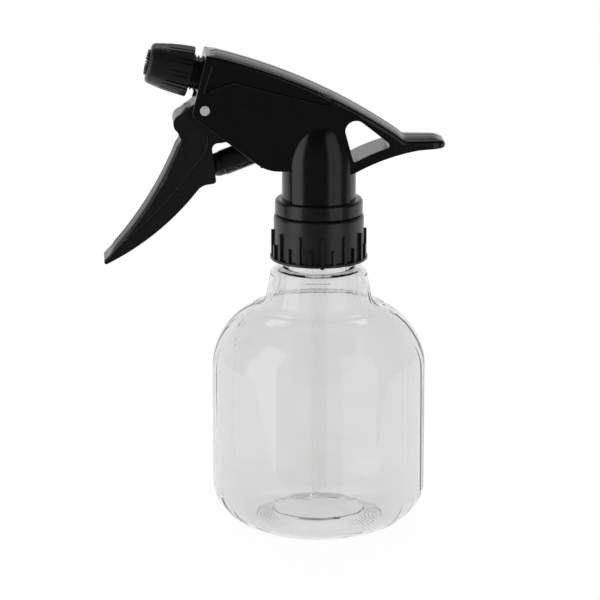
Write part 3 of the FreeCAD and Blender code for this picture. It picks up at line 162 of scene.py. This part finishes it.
def add_range(nodes, links, value, read, give):
    """A value carried from the range it is read in to the range it gives."""
    span = nodes.new("ShaderNodeMapRange")
    span.inputs["From Min"].default_value, span.inputs["From Max"].default_value = read
    span.inputs["To Min"].default_value, span.inputs["To Max"].default_value = give
    links.new(value, span.inputs["Value"])
    return span


def add_sky():
    """Soft surroundings, dim in front of the object and overhead and bright behind it.

    The view itself sees plain white."""
    world = bpy.data.worlds.new("studio")
    world.use_nodes = True
    bpy.context.scene.world = world
    nodes, links = world.node_tree.nodes, world.node_tree.links
    background = nodes["Background"]
    place = nodes.new("ShaderNodeTexCoord")
    split = nodes.new("ShaderNodeSeparateXYZ")
    links.new(place.outputs["Generated"], split.inputs[0])
    depth = add_range(nodes, links, split.outputs["Y"], SKY_BACK_RANGE, (SKY_FRONT, SKY_BACK))
    depth.interpolation_type = "SMOOTHSTEP"
    height = add_range(nodes, links, split.outputs["Z"], SKY_TOP_RANGE, (1.0, SKY_TOP_SHARE))
    glow = nodes.new("ShaderNodeMath")
    glow.operation = "MULTIPLY"
    links.new(depth.outputs["Result"], glow.inputs[0])
    links.new(height.outputs["Result"], glow.inputs[1])
    seen = nodes.new("ShaderNodeLightPath")
    shown = nodes.new("ShaderNodeMix")
    links.new(seen.outputs["Is Camera Ray"], shown.inputs["Factor"])
    links.new(glow.outputs["Value"], shown.inputs["A"])
    shown.inputs["B"].default_value = 1.0
    links.new(shown.outputs["Result"], background.inputs["Strength"])
    background.inputs["Color"].default_value = WHITE


def add_studio():
    scene = bpy.context.scene
    scene.view_settings.view_transform = "Standard"
    scene.view_settings.look = "None"
    add_camera()
    add_floor()
    add_sky()
    for name, box in SOFTBOXES.items():
        add_softbox(name, *box)


# ---------------------------------------------------------------- materials

# noise scales, in blotches to the metre
BLOTCH_SCALE = 220
SHEEN_SCALE = 900
GRAIN_SCALE = 5200
WALL_SCALE = 60
DRAW_MARK_SCALE = 170
METAL_SCALE = 3500
BLOOM_SCALE = 1500

NOISE_RANGE = (0.3, 0.7)
TINT_RANGE = (0.35, 0.65)
PLASTIC_GRAIN = 0.004 * MM
GRAIN_STRENGTH = 0.6
BLOOM_DEPTH = 0.02 * MM
BLOOM_STRENGTH = 0.5
RUBBER_ROUGH = 0.75
EVEN = (1, 1, 1)
DRAWN_UPRIGHT = (1, 1, 0.06)
DRAWN_WIRE = (1, 1, 4)

STEEL = (0.62, 0.62, 0.64)
WIRE_STEEL = (0.55, 0.55, 0.57)
NATURAL = ((0.60, 0.60, 0.57), (0.70, 0.70, 0.67))
BLACK_RUBBER = ((0.012, 0.012, 0.012), (0.022, 0.022, 0.022))
WHITE_RUBBER = ((0.50, 0.50, 0.48), (0.60, 0.60, 0.58))
# painted shade: the bottle wall's grey tint darkens everything seen through it, standing in for a dimmer
# backdrop behind the bottle
CLEAR_WALL_SHADE_TINT = (0.832, 0.833, 0.831)
CLEAR_TUBE = (0.985, 0.985, 0.98)

PLASTICS = {
    # node: material name, dark tone, light tone, roughness, gloss
    "shroud": ("cover_black", (0.0036, 0.0036, 0.0040), (0.0050, 0.0050, 0.0054), 0.18, 0.32),
    "trigger": ("trigger_black", (0.010, 0.010, 0.0105), (0.013, 0.013, 0.0136), 0.26, 0.32),
    "screw_cap": ("closure_black", (0.015, 0.015, 0.0155), (0.020, 0.020, 0.0205), 0.30, 0.34),
    "pump_body": ("pump_black", (0.008, 0.008, 0.0085), (0.011, 0.011, 0.0115), 0.22, 0.34),
    "nozzle_cap": ("nozzle_black", (0.012, 0.012, 0.0125), (0.016, 0.016, 0.0165), 0.28, 0.40),
    "orifice_insert": ("insert_black", (0.011, 0.011, 0.012), (0.016, 0.016, 0.017), 0.26, 0.40),
    "piston": ("piston_black", (0.007, 0.007, 0.0075), (0.010, 0.010, 0.0105), 0.26, 0.40),
    "trigger_pin": ("pin_natural", (0.76, 0.76, 0.73), (0.84, 0.84, 0.81), 0.38, 0.45),
    "tube_retainer": ("retainer_natural", *NATURAL, 0.40, 0.45),
    "nozzle_spinner": ("spinner_natural", *NATURAL, 0.40, 0.45),
}


def new_material(name):
    material = bpy.data.materials.new(name)
    material.use_nodes = True
    tree = material.node_tree
    return material, tree.nodes, tree.links, tree.nodes["Principled BSDF"]


def add_noise(nodes, links, scale, detail, stretch=EVEN):
    """Noise fixed to the object."""
    place = nodes.new("ShaderNodeTexCoord")
    fit = nodes.new("ShaderNodeMapping")
    fit.inputs["Scale"].default_value = stretch
    noise = nodes.new("ShaderNodeTexNoise")
    noise.inputs["Scale"].default_value = scale
    noise.inputs["Detail"].default_value = detail
    links.new(place.outputs["Object"], fit.inputs["Vector"])
    links.new(fit.outputs["Vector"], noise.inputs["Vector"])
    return noise


def add_span(nodes, links, source, low, high):
    """The noise's middle range carried to low..high."""
    return add_range(nodes, links, source.outputs["Fac"], NOISE_RANGE, (low, high))


def add_tint(nodes, links, source, dark, light, surface):
    ramp = nodes.new("ShaderNodeValToRGB")
    for stop, position, tone in zip(ramp.color_ramp.elements, TINT_RANGE, (dark, light)):
        stop.position = position
        stop.color = (*tone, 1)
    links.new(source.outputs["Fac"], ramp.inputs["Fac"])
    links.new(ramp.outputs["Color"], surface.inputs["Base Color"])


def add_bump(nodes, links, source, surface, depth, strength=1.0):
    bump = nodes.new("ShaderNodeBump")
    bump.inputs["Strength"].default_value = strength
    bump.inputs["Distance"].default_value = depth
    links.new(source.outputs["Fac"], bump.inputs["Height"])
    links.new(bump.outputs["Normal"], surface.inputs["Normal"])


def moulded_plastic(name, dark, light, rough, gloss):
    """Injection-moulded plastic: faint blotches of tone, uneven sheen and a very fine grain."""
    material, nodes, links, surface = new_material(name)
    blotch = add_noise(nodes, links, BLOTCH_SCALE, 3)
    add_tint(nodes, links, blotch, dark, light, surface)
    sheen = add_noise(nodes, links, SHEEN_SCALE, 4)
    links.new(add_span(nodes, links, sheen, rough - 0.05, rough + 0.06).outputs["Result"],
              surface.inputs["Roughness"])
    grain = add_noise(nodes, links, GRAIN_SCALE, 2)
    add_bump(nodes, links, grain, surface, PLASTIC_GRAIN, GRAIN_STRENGTH)
    surface.inputs["Specular IOR Level"].default_value = gloss
    return material


def clear_plastic(name, tint, rough, ior, ripple, gloss=0.5):
    """Blown clear plastic: slow ripples in the wall and long upright draw marks."""
    material, nodes, links, surface = new_material(name)
    blotch = add_noise(nodes, links, WALL_SCALE, 2)
    add_tint(nodes, links, blotch, [c * 0.99 for c in tint], tint, surface)
    surface.inputs["Transmission Weight"].default_value = 1.0
    surface.inputs["Roughness"].default_value = rough
    surface.inputs["IOR"].default_value = ior
    surface.inputs["Specular IOR Level"].default_value = gloss
    marks = add_noise(nodes, links, DRAW_MARK_SCALE, 2, DRAWN_UPRIGHT)
    add_bump(nodes, links, marks, surface, ripple)
    return material


def metal(name, tone, rough, stretch=EVEN):
    """Drawn or ground steel with fine marks along it."""
    material, nodes, links, surface = new_material(name)
    marks = add_noise(nodes, links, METAL_SCALE, 4, stretch)
    add_tint(nodes, links, marks, [c * 0.85 for c in tone], tone, surface)
    links.new(add_span(nodes, links, marks, rough * 0.7, rough * 1.4).outputs["Result"],
              surface.inputs["Roughness"])
    surface.inputs["Metallic"].default_value = 1.0
    return material


def rubber(name, dark, light):
    """Dull seal rubber with a dusty bloom."""
    material, nodes, links, surface = new_material(name)
    bloom = add_noise(nodes, links, BLOOM_SCALE, 5)
    add_tint(nodes, links, bloom, dark, light, surface)
    surface.inputs["Roughness"].default_value = RUBBER_ROUGH
    add_bump(nodes, links, bloom, surface, BLOOM_DEPTH, BLOOM_STRENGTH)
    return material


finishes = {node: moulded_plastic(*look) for node, look in PLASTICS.items()}
finishes.update({
    "dip_tube": clear_plastic("tube_natural", CLEAR_TUBE, 0.12, 1.04, 0.02 * MM),
    "inlet_ball": metal("ball_steel_ground", STEEL, 0.12),
    "outlet_ball": metal("valve_steel_ground", STEEL, 0.12),
    "cap_gasket": rubber("gasket_white", *WHITE_RUBBER),
    "nozzle_o_ring": rubber("ring_rubber", *BLACK_RUBBER),
    "piston_front_seal": rubber("front_seal_rubber", *BLACK_RUBBER),
    "piston_back_seal": rubber("back_seal_rubber", *BLACK_RUBBER),
})
# the bottle's wall tint is painted shade: its grey stands in for a dimmer backdrop seen through the
# clear plastic
bottle_material = clear_plastic("clear_bottle_wall_painted_shade", CLEAR_WALL_SHADE_TINT, 0.03, 1.33, 0.12 * MM, gloss=1.0)
spring_material = metal("spring_wire", WIRE_STEEL, 0.25, DRAWN_WIRE)


def finish_nodes():
    for node, material in finishes.items():
        for place in frame["nodes"][node].material_slots:
            place.material = material


# ---------------------------------------------------------------- outlines

def arc_between(start, end, radius, side):
    """Points after start on the round arc to end.

    Side 1 bulges to the right of the way along, -1 to the left."""
    chord = end - start
    half = chord.length / 2
    right = Vector((chord.y, -chord.x)).normalized()
    centre = start + chord / 2 - right * side * math.sqrt(max(radius * radius - half * half, 0.0))
    sweep = 2 * math.asin(min(half / radius, 1.0)) * side
    count = max(2, math.ceil(abs(sweep) / math.radians(3)))
    arm = start - centre
    return [centre + Matrix.Rotation(sweep * (i + 1) / count, 2) @ arm for i in range(count)]


def trace(outline):
    """The outline's corners joined by straight lines.

    A corner that also gives a radius and a side is joined to the next one by an arc."""
    points = [Vector(outline[0][:2])]
    for here, there in zip(outline, outline[1:]):
        end = Vector(there[:2])
        if len(here) == 4:
            points += arc_between(points[-1], end, here[2], here[3])
        else:
            points.append(end)
    return points


def resample(points, step):
    """The same line with points a fixed step apart."""
    even = [points[0]]
    for start, end in zip(points, points[1:]):
        count = max(1, math.ceil((end - start).length / step))
        even += [start.lerp(end, (i + 1) / count) for i in range(count)]
    return even


def relax(points, passes):
    """Rounds small corners: each pass moves a point half way to the middle of its neighbours."""
    for _ in range(passes):
        inner = [(a + 2 * b + c) / 4 for a, b, c in zip(points, points[1:], points[2:])]
        points = [points[0]] + inner + [points[-1]]
    return points


def thin_out(points, longest, turn):
    """Drops points on straight stretches, up to the longest gap allowed there."""
    kept = [points[0]]
    for here, after in zip(points[1:], points[2:]):
        gap = here - kept[-1]
        bend = abs(gap.angle(after - here, 0.0))
        if bend > turn or (after - kept[-1]).length > longest(here):
            kept.append(here)
    return kept + [points[-1]]


# ---------------------------------------------------------------- bottle

SKIN = 0.9
FOOT_RADIUS = 25.0
FOOT_INNER = 22.6
RING_RADIUS = 17.0
PUSH_UP = 5.5
DOME_RADIUS = 24.2
DOME_Z = 81.6
NECK_LOW = (19.2, 85.2)
NECK_HIGH = (17.7, 94.0)
LEDGE_RADIUS = 16.4
LEDGE_Z = 96.4
FINISH_RADIUS = 12.6
MOUTH_RADIUS = 10.6
THREAD_START = 101.6
THREAD_PITCH = 3.18
THREAD_TURNS = 2.0
THREAD_HEIGHT = 0.95
THREAD_FOOT = 1.05
THREAD_CREST = 0.35
SEGMENTS = 288
SEAM_ANGLE = math.radians(-42)
SEAM_WIDTH = 0.010
SEAM_HEIGHT = 0.10
SEAM_FROM = 2.0
KNURLS = 72
KNURL_HEIGHT = 0.12
KNURL_FADE = 1.2

WALL_LOW = 12.7
WALL_HIGH = 61.5
HEEL_ROUND = 19.0
SHOULDER_ROUND = 26.0
NECK_ROUND = 5.5
PUSH_UP_ROUND = 62.0
RING_TOP = 3.7
RING_FOOT = 2.9

THREAD_RUN_OUT = 0.08
THREAD_FROM = LEDGE_Z + 2
UNEVEN_TO = LEDGE_Z - 4
WALL_BANDS = [
    # bands round the bottle, thickness, turn
    (5, 0.07, 0.6),
    (11, 0.04, 2.1),
    (37, 0.03, 0.0),
]

OUTLINE_STEP = 0.3
OUTLINE_PASSES = 4
OUTLINE_BEND = math.radians(1.6)
WALL_GAP = 2.4
FINISH_GAP = 0.35


def bottle_outline():
    wall = wall_radius / MM
    top = finish_top / MM
    outer = [
        (0, PUSH_UP, PUSH_UP_ROUND, -1),
        (RING_RADIUS - 0.5, RING_TOP),
        (RING_RADIUS, RING_FOOT),
        (FOOT_INNER, 0.9),
        (FOOT_INNER + 1, 0.15),
        (FOOT_RADIUS, 0),
        (FOOT_RADIUS + 1.2, 0, HEEL_ROUND, 1),
        (wall, WALL_LOW),
        (wall, WALL_HIGH, SHOULDER_ROUND, 1),
        (DOME_RADIUS, DOME_Z, NECK_ROUND, -1),
        (NECK_LOW[0], NECK_LOW[1] + 0.8),
        (*NECK_HIGH, 2.6, 1),
        (LEDGE_RADIUS - 0.6, LEDGE_Z),
        (FINISH_RADIUS + 0.8, LEDGE_Z + 0.2, 0.9, -1),
        (FINISH_RADIUS, LEDGE_Z + 1.0),
        (FINISH_RADIUS, top),
    ]
    inner = [
        (MOUTH_RADIUS, top),
        (MOUTH_RADIUS, LEDGE_Z + 0.6, 1.6, 1),
        (MOUTH_RADIUS + 1.4, LEDGE_Z - 0.8),
        (NECK_HIGH[0] - SKIN - 1.4, LEDGE_Z - 0.9, 1.7, -1),
        (NECK_HIGH[0] - SKIN, NECK_HIGH[1] - 0.4),
        (NECK_LOW[0] - SKIN, NECK_LOW[1] + 1.2, NECK_ROUND + SKIN, 1),
        (DOME_RADIUS - 0.4, DOME_Z - SKIN, SHOULDER_ROUND - SKIN, -1),
        (wall - SKIN, WALL_HIGH),
        (wall - SKIN, WALL_LOW, HEEL_ROUND - SKIN, -1),
        (FOOT_RADIUS + 1.2, SKIN),
        (FOOT_INNER + 0.8, SKIN + 0.2),
        (FOOT_INNER, SKIN + 0.9),
        (RING_RADIUS, RING_FOOT + SKIN),
        (RING_RADIUS - 0.5, RING_TOP + SKIN, PUSH_UP_ROUND, 1),
        (0, PUSH_UP + SKIN),
    ]
    return trace(outer), trace(inner)


def smooth_rise(value):
    value = min(max(value, 0.0), 1.0)
    return value * value * (3 - 2 * value)


def thread_rise(angle, z):
    """How far the screw thread stands out of the finish at an angle and a height."""
    turn = angle / FULL_TURN
    rise = 0.0
    for lap in range(-1, int(THREAD_TURNS) + 1):
        along = turn + lap
        if not 0 <= along <= THREAD_TURNS:
            continue
        off = abs(z - THREAD_START - THREAD_PITCH * along)
        flank = smooth_rise((THREAD_FOOT - off) / (THREAD_FOOT - THREAD_CREST))
        run_in = smooth_rise(along / THREAD_RUN_OUT)
        run_out = smooth_rise((THREAD_TURNS - along) / THREAD_RUN_OUT)
        rise = max(rise, THREAD_HEIGHT * flank * (run_in * run_out))
    return rise


def outer_shift(angle, radius, z):
    """Small shapes on the outside: the thread and the two upright mould seams."""
    if z > THREAD_FROM:
        return thread_rise(angle, z)
    if z > SEAM_FROM:
        return SEAM_HEIGHT * math.exp(-((math.sin(angle - SEAM_ANGLE) / SEAM_WIDTH) ** 2))
    return 0.0


def floor_lift(angle, radius, z):
    """The ring of short radial ribs moulded under the bottle, between its foot and its inner ring."""
    if z > PUSH_UP or not RING_RADIUS < radius < FOOT_INNER:
        return 0.0
    inner_fade = smooth_rise((radius - RING_RADIUS) / KNURL_FADE)
    outer_fade = smooth_rise((FOOT_INNER - radius) / KNURL_FADE)
    return KNURL_HEIGHT * (inner_fade * outer_fade) * math.cos(KNURLS * angle)


def ring_angles():
    """Even steps round the bottle, with closer ones across each of its two mould seams."""
    even = [FULL_TURN * i / SEGMENTS for i in range(SEGMENTS)]
    close = []
    for seam in (SEAM_ANGLE % FULL_TURN, (SEAM_ANGLE + math.pi) % FULL_TURN):
        close += [seam + SEAM_WIDTH * step for step in (-1.5, -1.0, -0.5, 0.0, 0.5, 1.0, 1.5)]
    return sorted(even + close)


def inner_shift(angle, z):
    """Uneven wall: the blown plastic is a little thicker along some upright bands."""
    if z > UNEVEN_TO:
        return 0.0
    fade = smooth_rise((z - 4) / 8) * smooth_rise((UNEVEN_TO - z) / 6)
    bands = sum(thick * math.sin(count * angle + turn) for count, thick, turn in WALL_BANDS)
    return fade * (bands + 0.03 * math.sin(3 * angle + z / 9))


def spin_points(profile, angles, shift, lift):
    """The profile's points at every angle, each moved out by shift and up by lift."""
    points = []
    for p in profile:
        for angle in angles:
            radius = max(p.x + shift(angle, p.x, p.y), 0.0)
            z = p.y + lift(angle, p.x, p.y)
            points.append((radius * math.cos(angle) * MM, radius * math.sin(angle) * MM, z * MM))
    return points


def add_bottle():
    outer, inner = [relax(resample(line, OUTLINE_STEP), OUTLINE_PASSES) for line in bottle_outline()]
    outer = thin_out(outer, lambda p: FINISH_GAP if p.y > LEDGE_Z else WALL_GAP, OUTLINE_BEND)
    inner = thin_out(inner, lambda p: WALL_GAP, OUTLINE_BEND)
    rings = len(outer) + len(inner) - 2
    angles = ring_angles()
    points = spin_points(outer[1:], angles, outer_shift, floor_lift)
    points += spin_points(inner[:-1], angles, lambda a, r, z: -inner_shift(a, z), lambda a, r, z: 0.0)
    count = len(angles)
    faces = ring_faces(rings, count)
    low = len(points)
    points.append((0, 0, outer[0].y * MM))
    points.append((0, 0, inner[-1].y * MM))
    last = (rings - 1) * count
    for i in range(count):
        j = (i + 1) % count
        faces.append((low, j, i))
        faces.append((low + 1, last + i, last + j))
    bottle = add_mesh("bottle_clear_shell", points, faces, bottle_material)
    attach(bottle, "bottle")
    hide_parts("bottle")


# ---------------------------------------------------------------- springs

WIRE_SIDES = 12
STEPS_PER_TURN = 40
CLOSED_TURNS = 1.0
PUMP_PLACE = Vector((-33.85, 0, 135.93))
SPRAY_PLACE = Vector((-46.4, 0, 169.05))


def add_coil(name, start, axis, length, radius, wire, turns):
    """A round-wire spring with a closed turn at each end, wound along axis. Lengths are in mm."""
    start, length, radius, wire = start * MM, length * MM, radius * MM, wire * MM
    axis = axis.normalized()
    side = axis.cross(Vector((0, 1, 0))).normalized()
    up = axis.cross(side)
    laps = turns + 2 * CLOSED_TURNS
    steps = int(laps * STEPS_PER_TURN)
    free = length - 2 * wire - 4 * CLOSED_TURNS * wire
    centres = []
    for i in range(steps + 1):
        lap = laps * i / steps
        low = min(lap, CLOSED_TURNS) * 2 * wire
        mid = min(max(lap - CLOSED_TURNS, 0.0), turns) / turns * free
        high = max(lap - CLOSED_TURNS - turns, 0.0) * 2 * wire
        angle = FULL_TURN * lap
        out = side * math.cos(angle) + up * math.sin(angle)
        centres.append((start + axis * (wire + low + mid + high) + out * radius, out))
    points = []
    for centre, out in centres:
        for k in range(WIRE_SIDES):
            turn = FULL_TURN * k / WIRE_SIDES
            points.append(centre + out * wire * math.cos(turn) + axis * wire * math.sin(turn))
    faces = ring_faces(steps + 1, WIRE_SIDES)
    faces.append(tuple(range(WIRE_SIDES))[::-1])
    faces.append(tuple(steps * WIRE_SIDES + k for k in range(WIRE_SIDES)))
    coil = add_mesh(name, points, faces, spring_material)
    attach(coil, "head")
    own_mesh(coil)
    return coil


def add_springs():
    coil = add_coil("return_spring_wire", PUMP_PLACE + pump_axis * 23.5, pump_axis, length=13.05,
                    radius=3.5, wire=0.4, turns=5.0)
    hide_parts("return_spring")
    coil = add_coil("outlet_spring_wire", SPRAY_PLACE + spray_axis * 2.2, spray_axis, length=2.5,
                    radius=1.5, wire=0.14, turns=3.0)
    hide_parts("outlet_spring")


# ---------------------------------------------------------------- moulded skins and fine edges

SKIN_SINK = 0.3 * MM
SKIN_LIFT = 0.02 * MM
SKIN_ROUND = 1.2 * MM
SKIN_STEP = 1.2 * MM
SKIN_RUN_OUT = 2
SKIN_PROBE = 1.3 * MM
SHARP_ANGLE = math.radians(35)
SKIN_CORNER = [math.radians(angle) for angle in (75, 50, 25)]
FACE_SHARES = (-1.0, -0.85, -0.7, -0.5, -0.3)
PARTING_SHARES = (1.3, 1.0, 0.98)
ROOF_CROWN = 1.2 * MM
ROOF_START = 6.2 * MM
ROOF_END = 1.2 * MM
GRIP_CROWN = 0.9 * MM
GRIP_FRONT = -0.1
GRIP_LOW = 103.5 * MM
GRIP_HIGH = 145.0 * MM
BROW_FRONT = -50.2 * MM
BROW_BACK = -46.2 * MM
BROW_ABOVE = 0.17
PARTING_HALF = 0.70 * MM
PARTING_DEPTH = 0.36 * MM
COVER_SIDE = 10.4
TRIGGER_SIDE = 7.0
EDGE_STEP = 0.6
EDGE_SINK = -0.15
RECESS_EDGE = [(-38.6, 173.2), (-42.1, 162.9), (-31.6, 166.6), (2.3, 157.6)]
TRIGGER_STEP = [
    (-71.0, 108.5, 150.0, 1),
    (-43.7, 138.0, 6.0, 1),
    (-41.2, 141.4),
    (-40.5, 144.2),
    (-40.6, 147.3),
]


def hit(node, place, way):
    """Where a ray from place meets a CAD node's surface, or None."""
    found, point, normal, _ = frame["nodes"][node].ray_cast(Vector(place), Vector(way))
    return (point, normal) if found else None


def stations(node, starts, way):
    """Where rays from the starts meet a node at its middle, with the normal and the half width there."""
    found = []
    for start in starts:
        top, normal = hit(node, start, way)
        inside = top - normal * SKIN_PROBE
        side = hit(node, (inside.x, -0.03, inside.z), (0, 1, 0))
        found.append((top, normal, abs(side[0].y)))
    return found


def crown_section(half, crown, strength):
    """A closed line across a crowned face, rounded over at both edges and grooved in the middle."""
    flat = half - SKIN_ROUND
    steps = [flat * share for share in FACE_SHARES]
    steps += [-PARTING_HALF * share for share in PARTING_SHARES]
    steps += [-place for place in reversed(steps)]
    corner = [(flat + SKIN_ROUND * math.sin(a), SKIN_ROUND * (1 - math.cos(a))) for a in SKIN_CORNER]
    places = [(-y, drop) for y, drop in corner]
    places += [(y, PARTING_DEPTH * strength if abs(y) < PARTING_HALF else 0.0) for y in steps]
    places += corner[::-1]
    section = [(y, crown * strength * (1 - (y / half) ** 2) - drop + SKIN_LIFT) for y, drop in places]
    section.append((section[-1][0] - SKIN_SINK, section[-1][1] - SKIN_SINK))
    section.append((section[0][0] + SKIN_SINK, section[0][1] - SKIN_SINK))
    return section


def loft(name, rows, material, body):
    """A closed skin through rows of points, each row a closed ring, with both ends capped."""
    points = [p for row in rows for p in row]
    count = len(rows[0])
    faces = ring_faces(len(rows), count, turned=True)
    last = (len(rows) - 1) * count
    faces.append(tuple(range(count)))
    faces.append(tuple(last + i for i in reversed(range(count))))
    piece = add_mesh(name, points, faces, material)
    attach(piece, body)
    return piece


def add_crown(name, found, crown, material, body):
    """A skin over a face, crowned across, that runs out at both ends."""
    rows = []
    last = len(found) - 1
    for i, (top, normal, half) in enumerate(found):
        strength = smooth_rise(min(i, last - i) / SKIN_RUN_OUT)
        section = crown_section(half, crown, strength)
        rows.append([top + Vector((0, y, 0)) + normal * rise for y, rise in section])
    skin = loft(name, rows, material, body)
    skin.data.set_sharp_from_angle(angle=SHARP_ANGLE)


def even_steps(low, high):
    """Places from low to high, about a skin's step apart."""
    count = math.ceil((high - low) / SKIN_STEP)
    return [low + (high - low) * i / count for i in range(count + 1)]


def add_roof():
    low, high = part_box("shroud")
    above = [(x, 0, high.z + 0.01) for x in even_steps(low.x + ROOF_START, high.x - ROOF_END)]
    found = stations("shroud", above, (0, 0, -1))
    add_crown("cover_roof_skin", found, ROOF_CROWN, finishes["shroud"], "head")


def add_grip():
    ahead = [(GRIP_FRONT, 0, z) for z in even_steps(GRIP_LOW, GRIP_HIGH)]
    found = stations("trigger", ahead, (1, 0, 0))
    add_crown("trigger_front_skin", found, GRIP_CROWN, finishes["trigger"], "trigger")
    above = [(x, 0, BROW_ABOVE) for x in even_steps(BROW_FRONT, BROW_BACK)]
    found = stations("trigger", above, (0, 0, -1))
    add_crown("trigger_brow_skin", found, GRIP_CROWN, finishes["trigger"], "trigger")


def add_edge(name, track, side, width, height, material, body):
    """A fine raised line along a track of (x, z) places on the side of a part that faces side * y."""
    rows = []
    track = relax(track, 2)
    shape = [(-1.0, EDGE_SINK), (-1.0, 0.0), (-0.4, height), (0.4, height), (1.0, 0.0), (1.0, EDGE_SINK)]
    for i, place in enumerate(track):
        before, after = track[max(i - 1, 0)], track[min(i + 1, len(track) - 1)]
        along = (after - before).normalized()
        across = Vector((along.y, -along.x))
        row = []
        for share, rise in shape:
            flat = place + across * share * width
            row.append(Vector((flat.x, side + math.copysign(rise, side), flat.y)) * MM)
        rows.append(row if side < 0 else row[::-1])
    loft(name, rows, material, body)


def add_fine_edges():
    recess = resample([Vector(place) for place in RECESS_EDGE], EDGE_STEP)
    step = resample(trace(TRIGGER_STEP), EDGE_STEP)
    for label, way in (("near", -1), ("far", 1)):
        add_edge("recess_edge_" + label, recess, way * COVER_SIDE, width=0.16, height=0.12,
                 material=finishes["shroud"], body="head")
        add_edge("trigger_step_" + label, step, way * TRIGGER_SIDE, width=0.14, height=0.08,
                 material=finishes["trigger"], body="trigger")


# ---------------------------------------------------------------- build

add_studio()
finish_nodes()
add_bottle()
add_springs()
add_roof()
add_grip()
add_fine_edges()
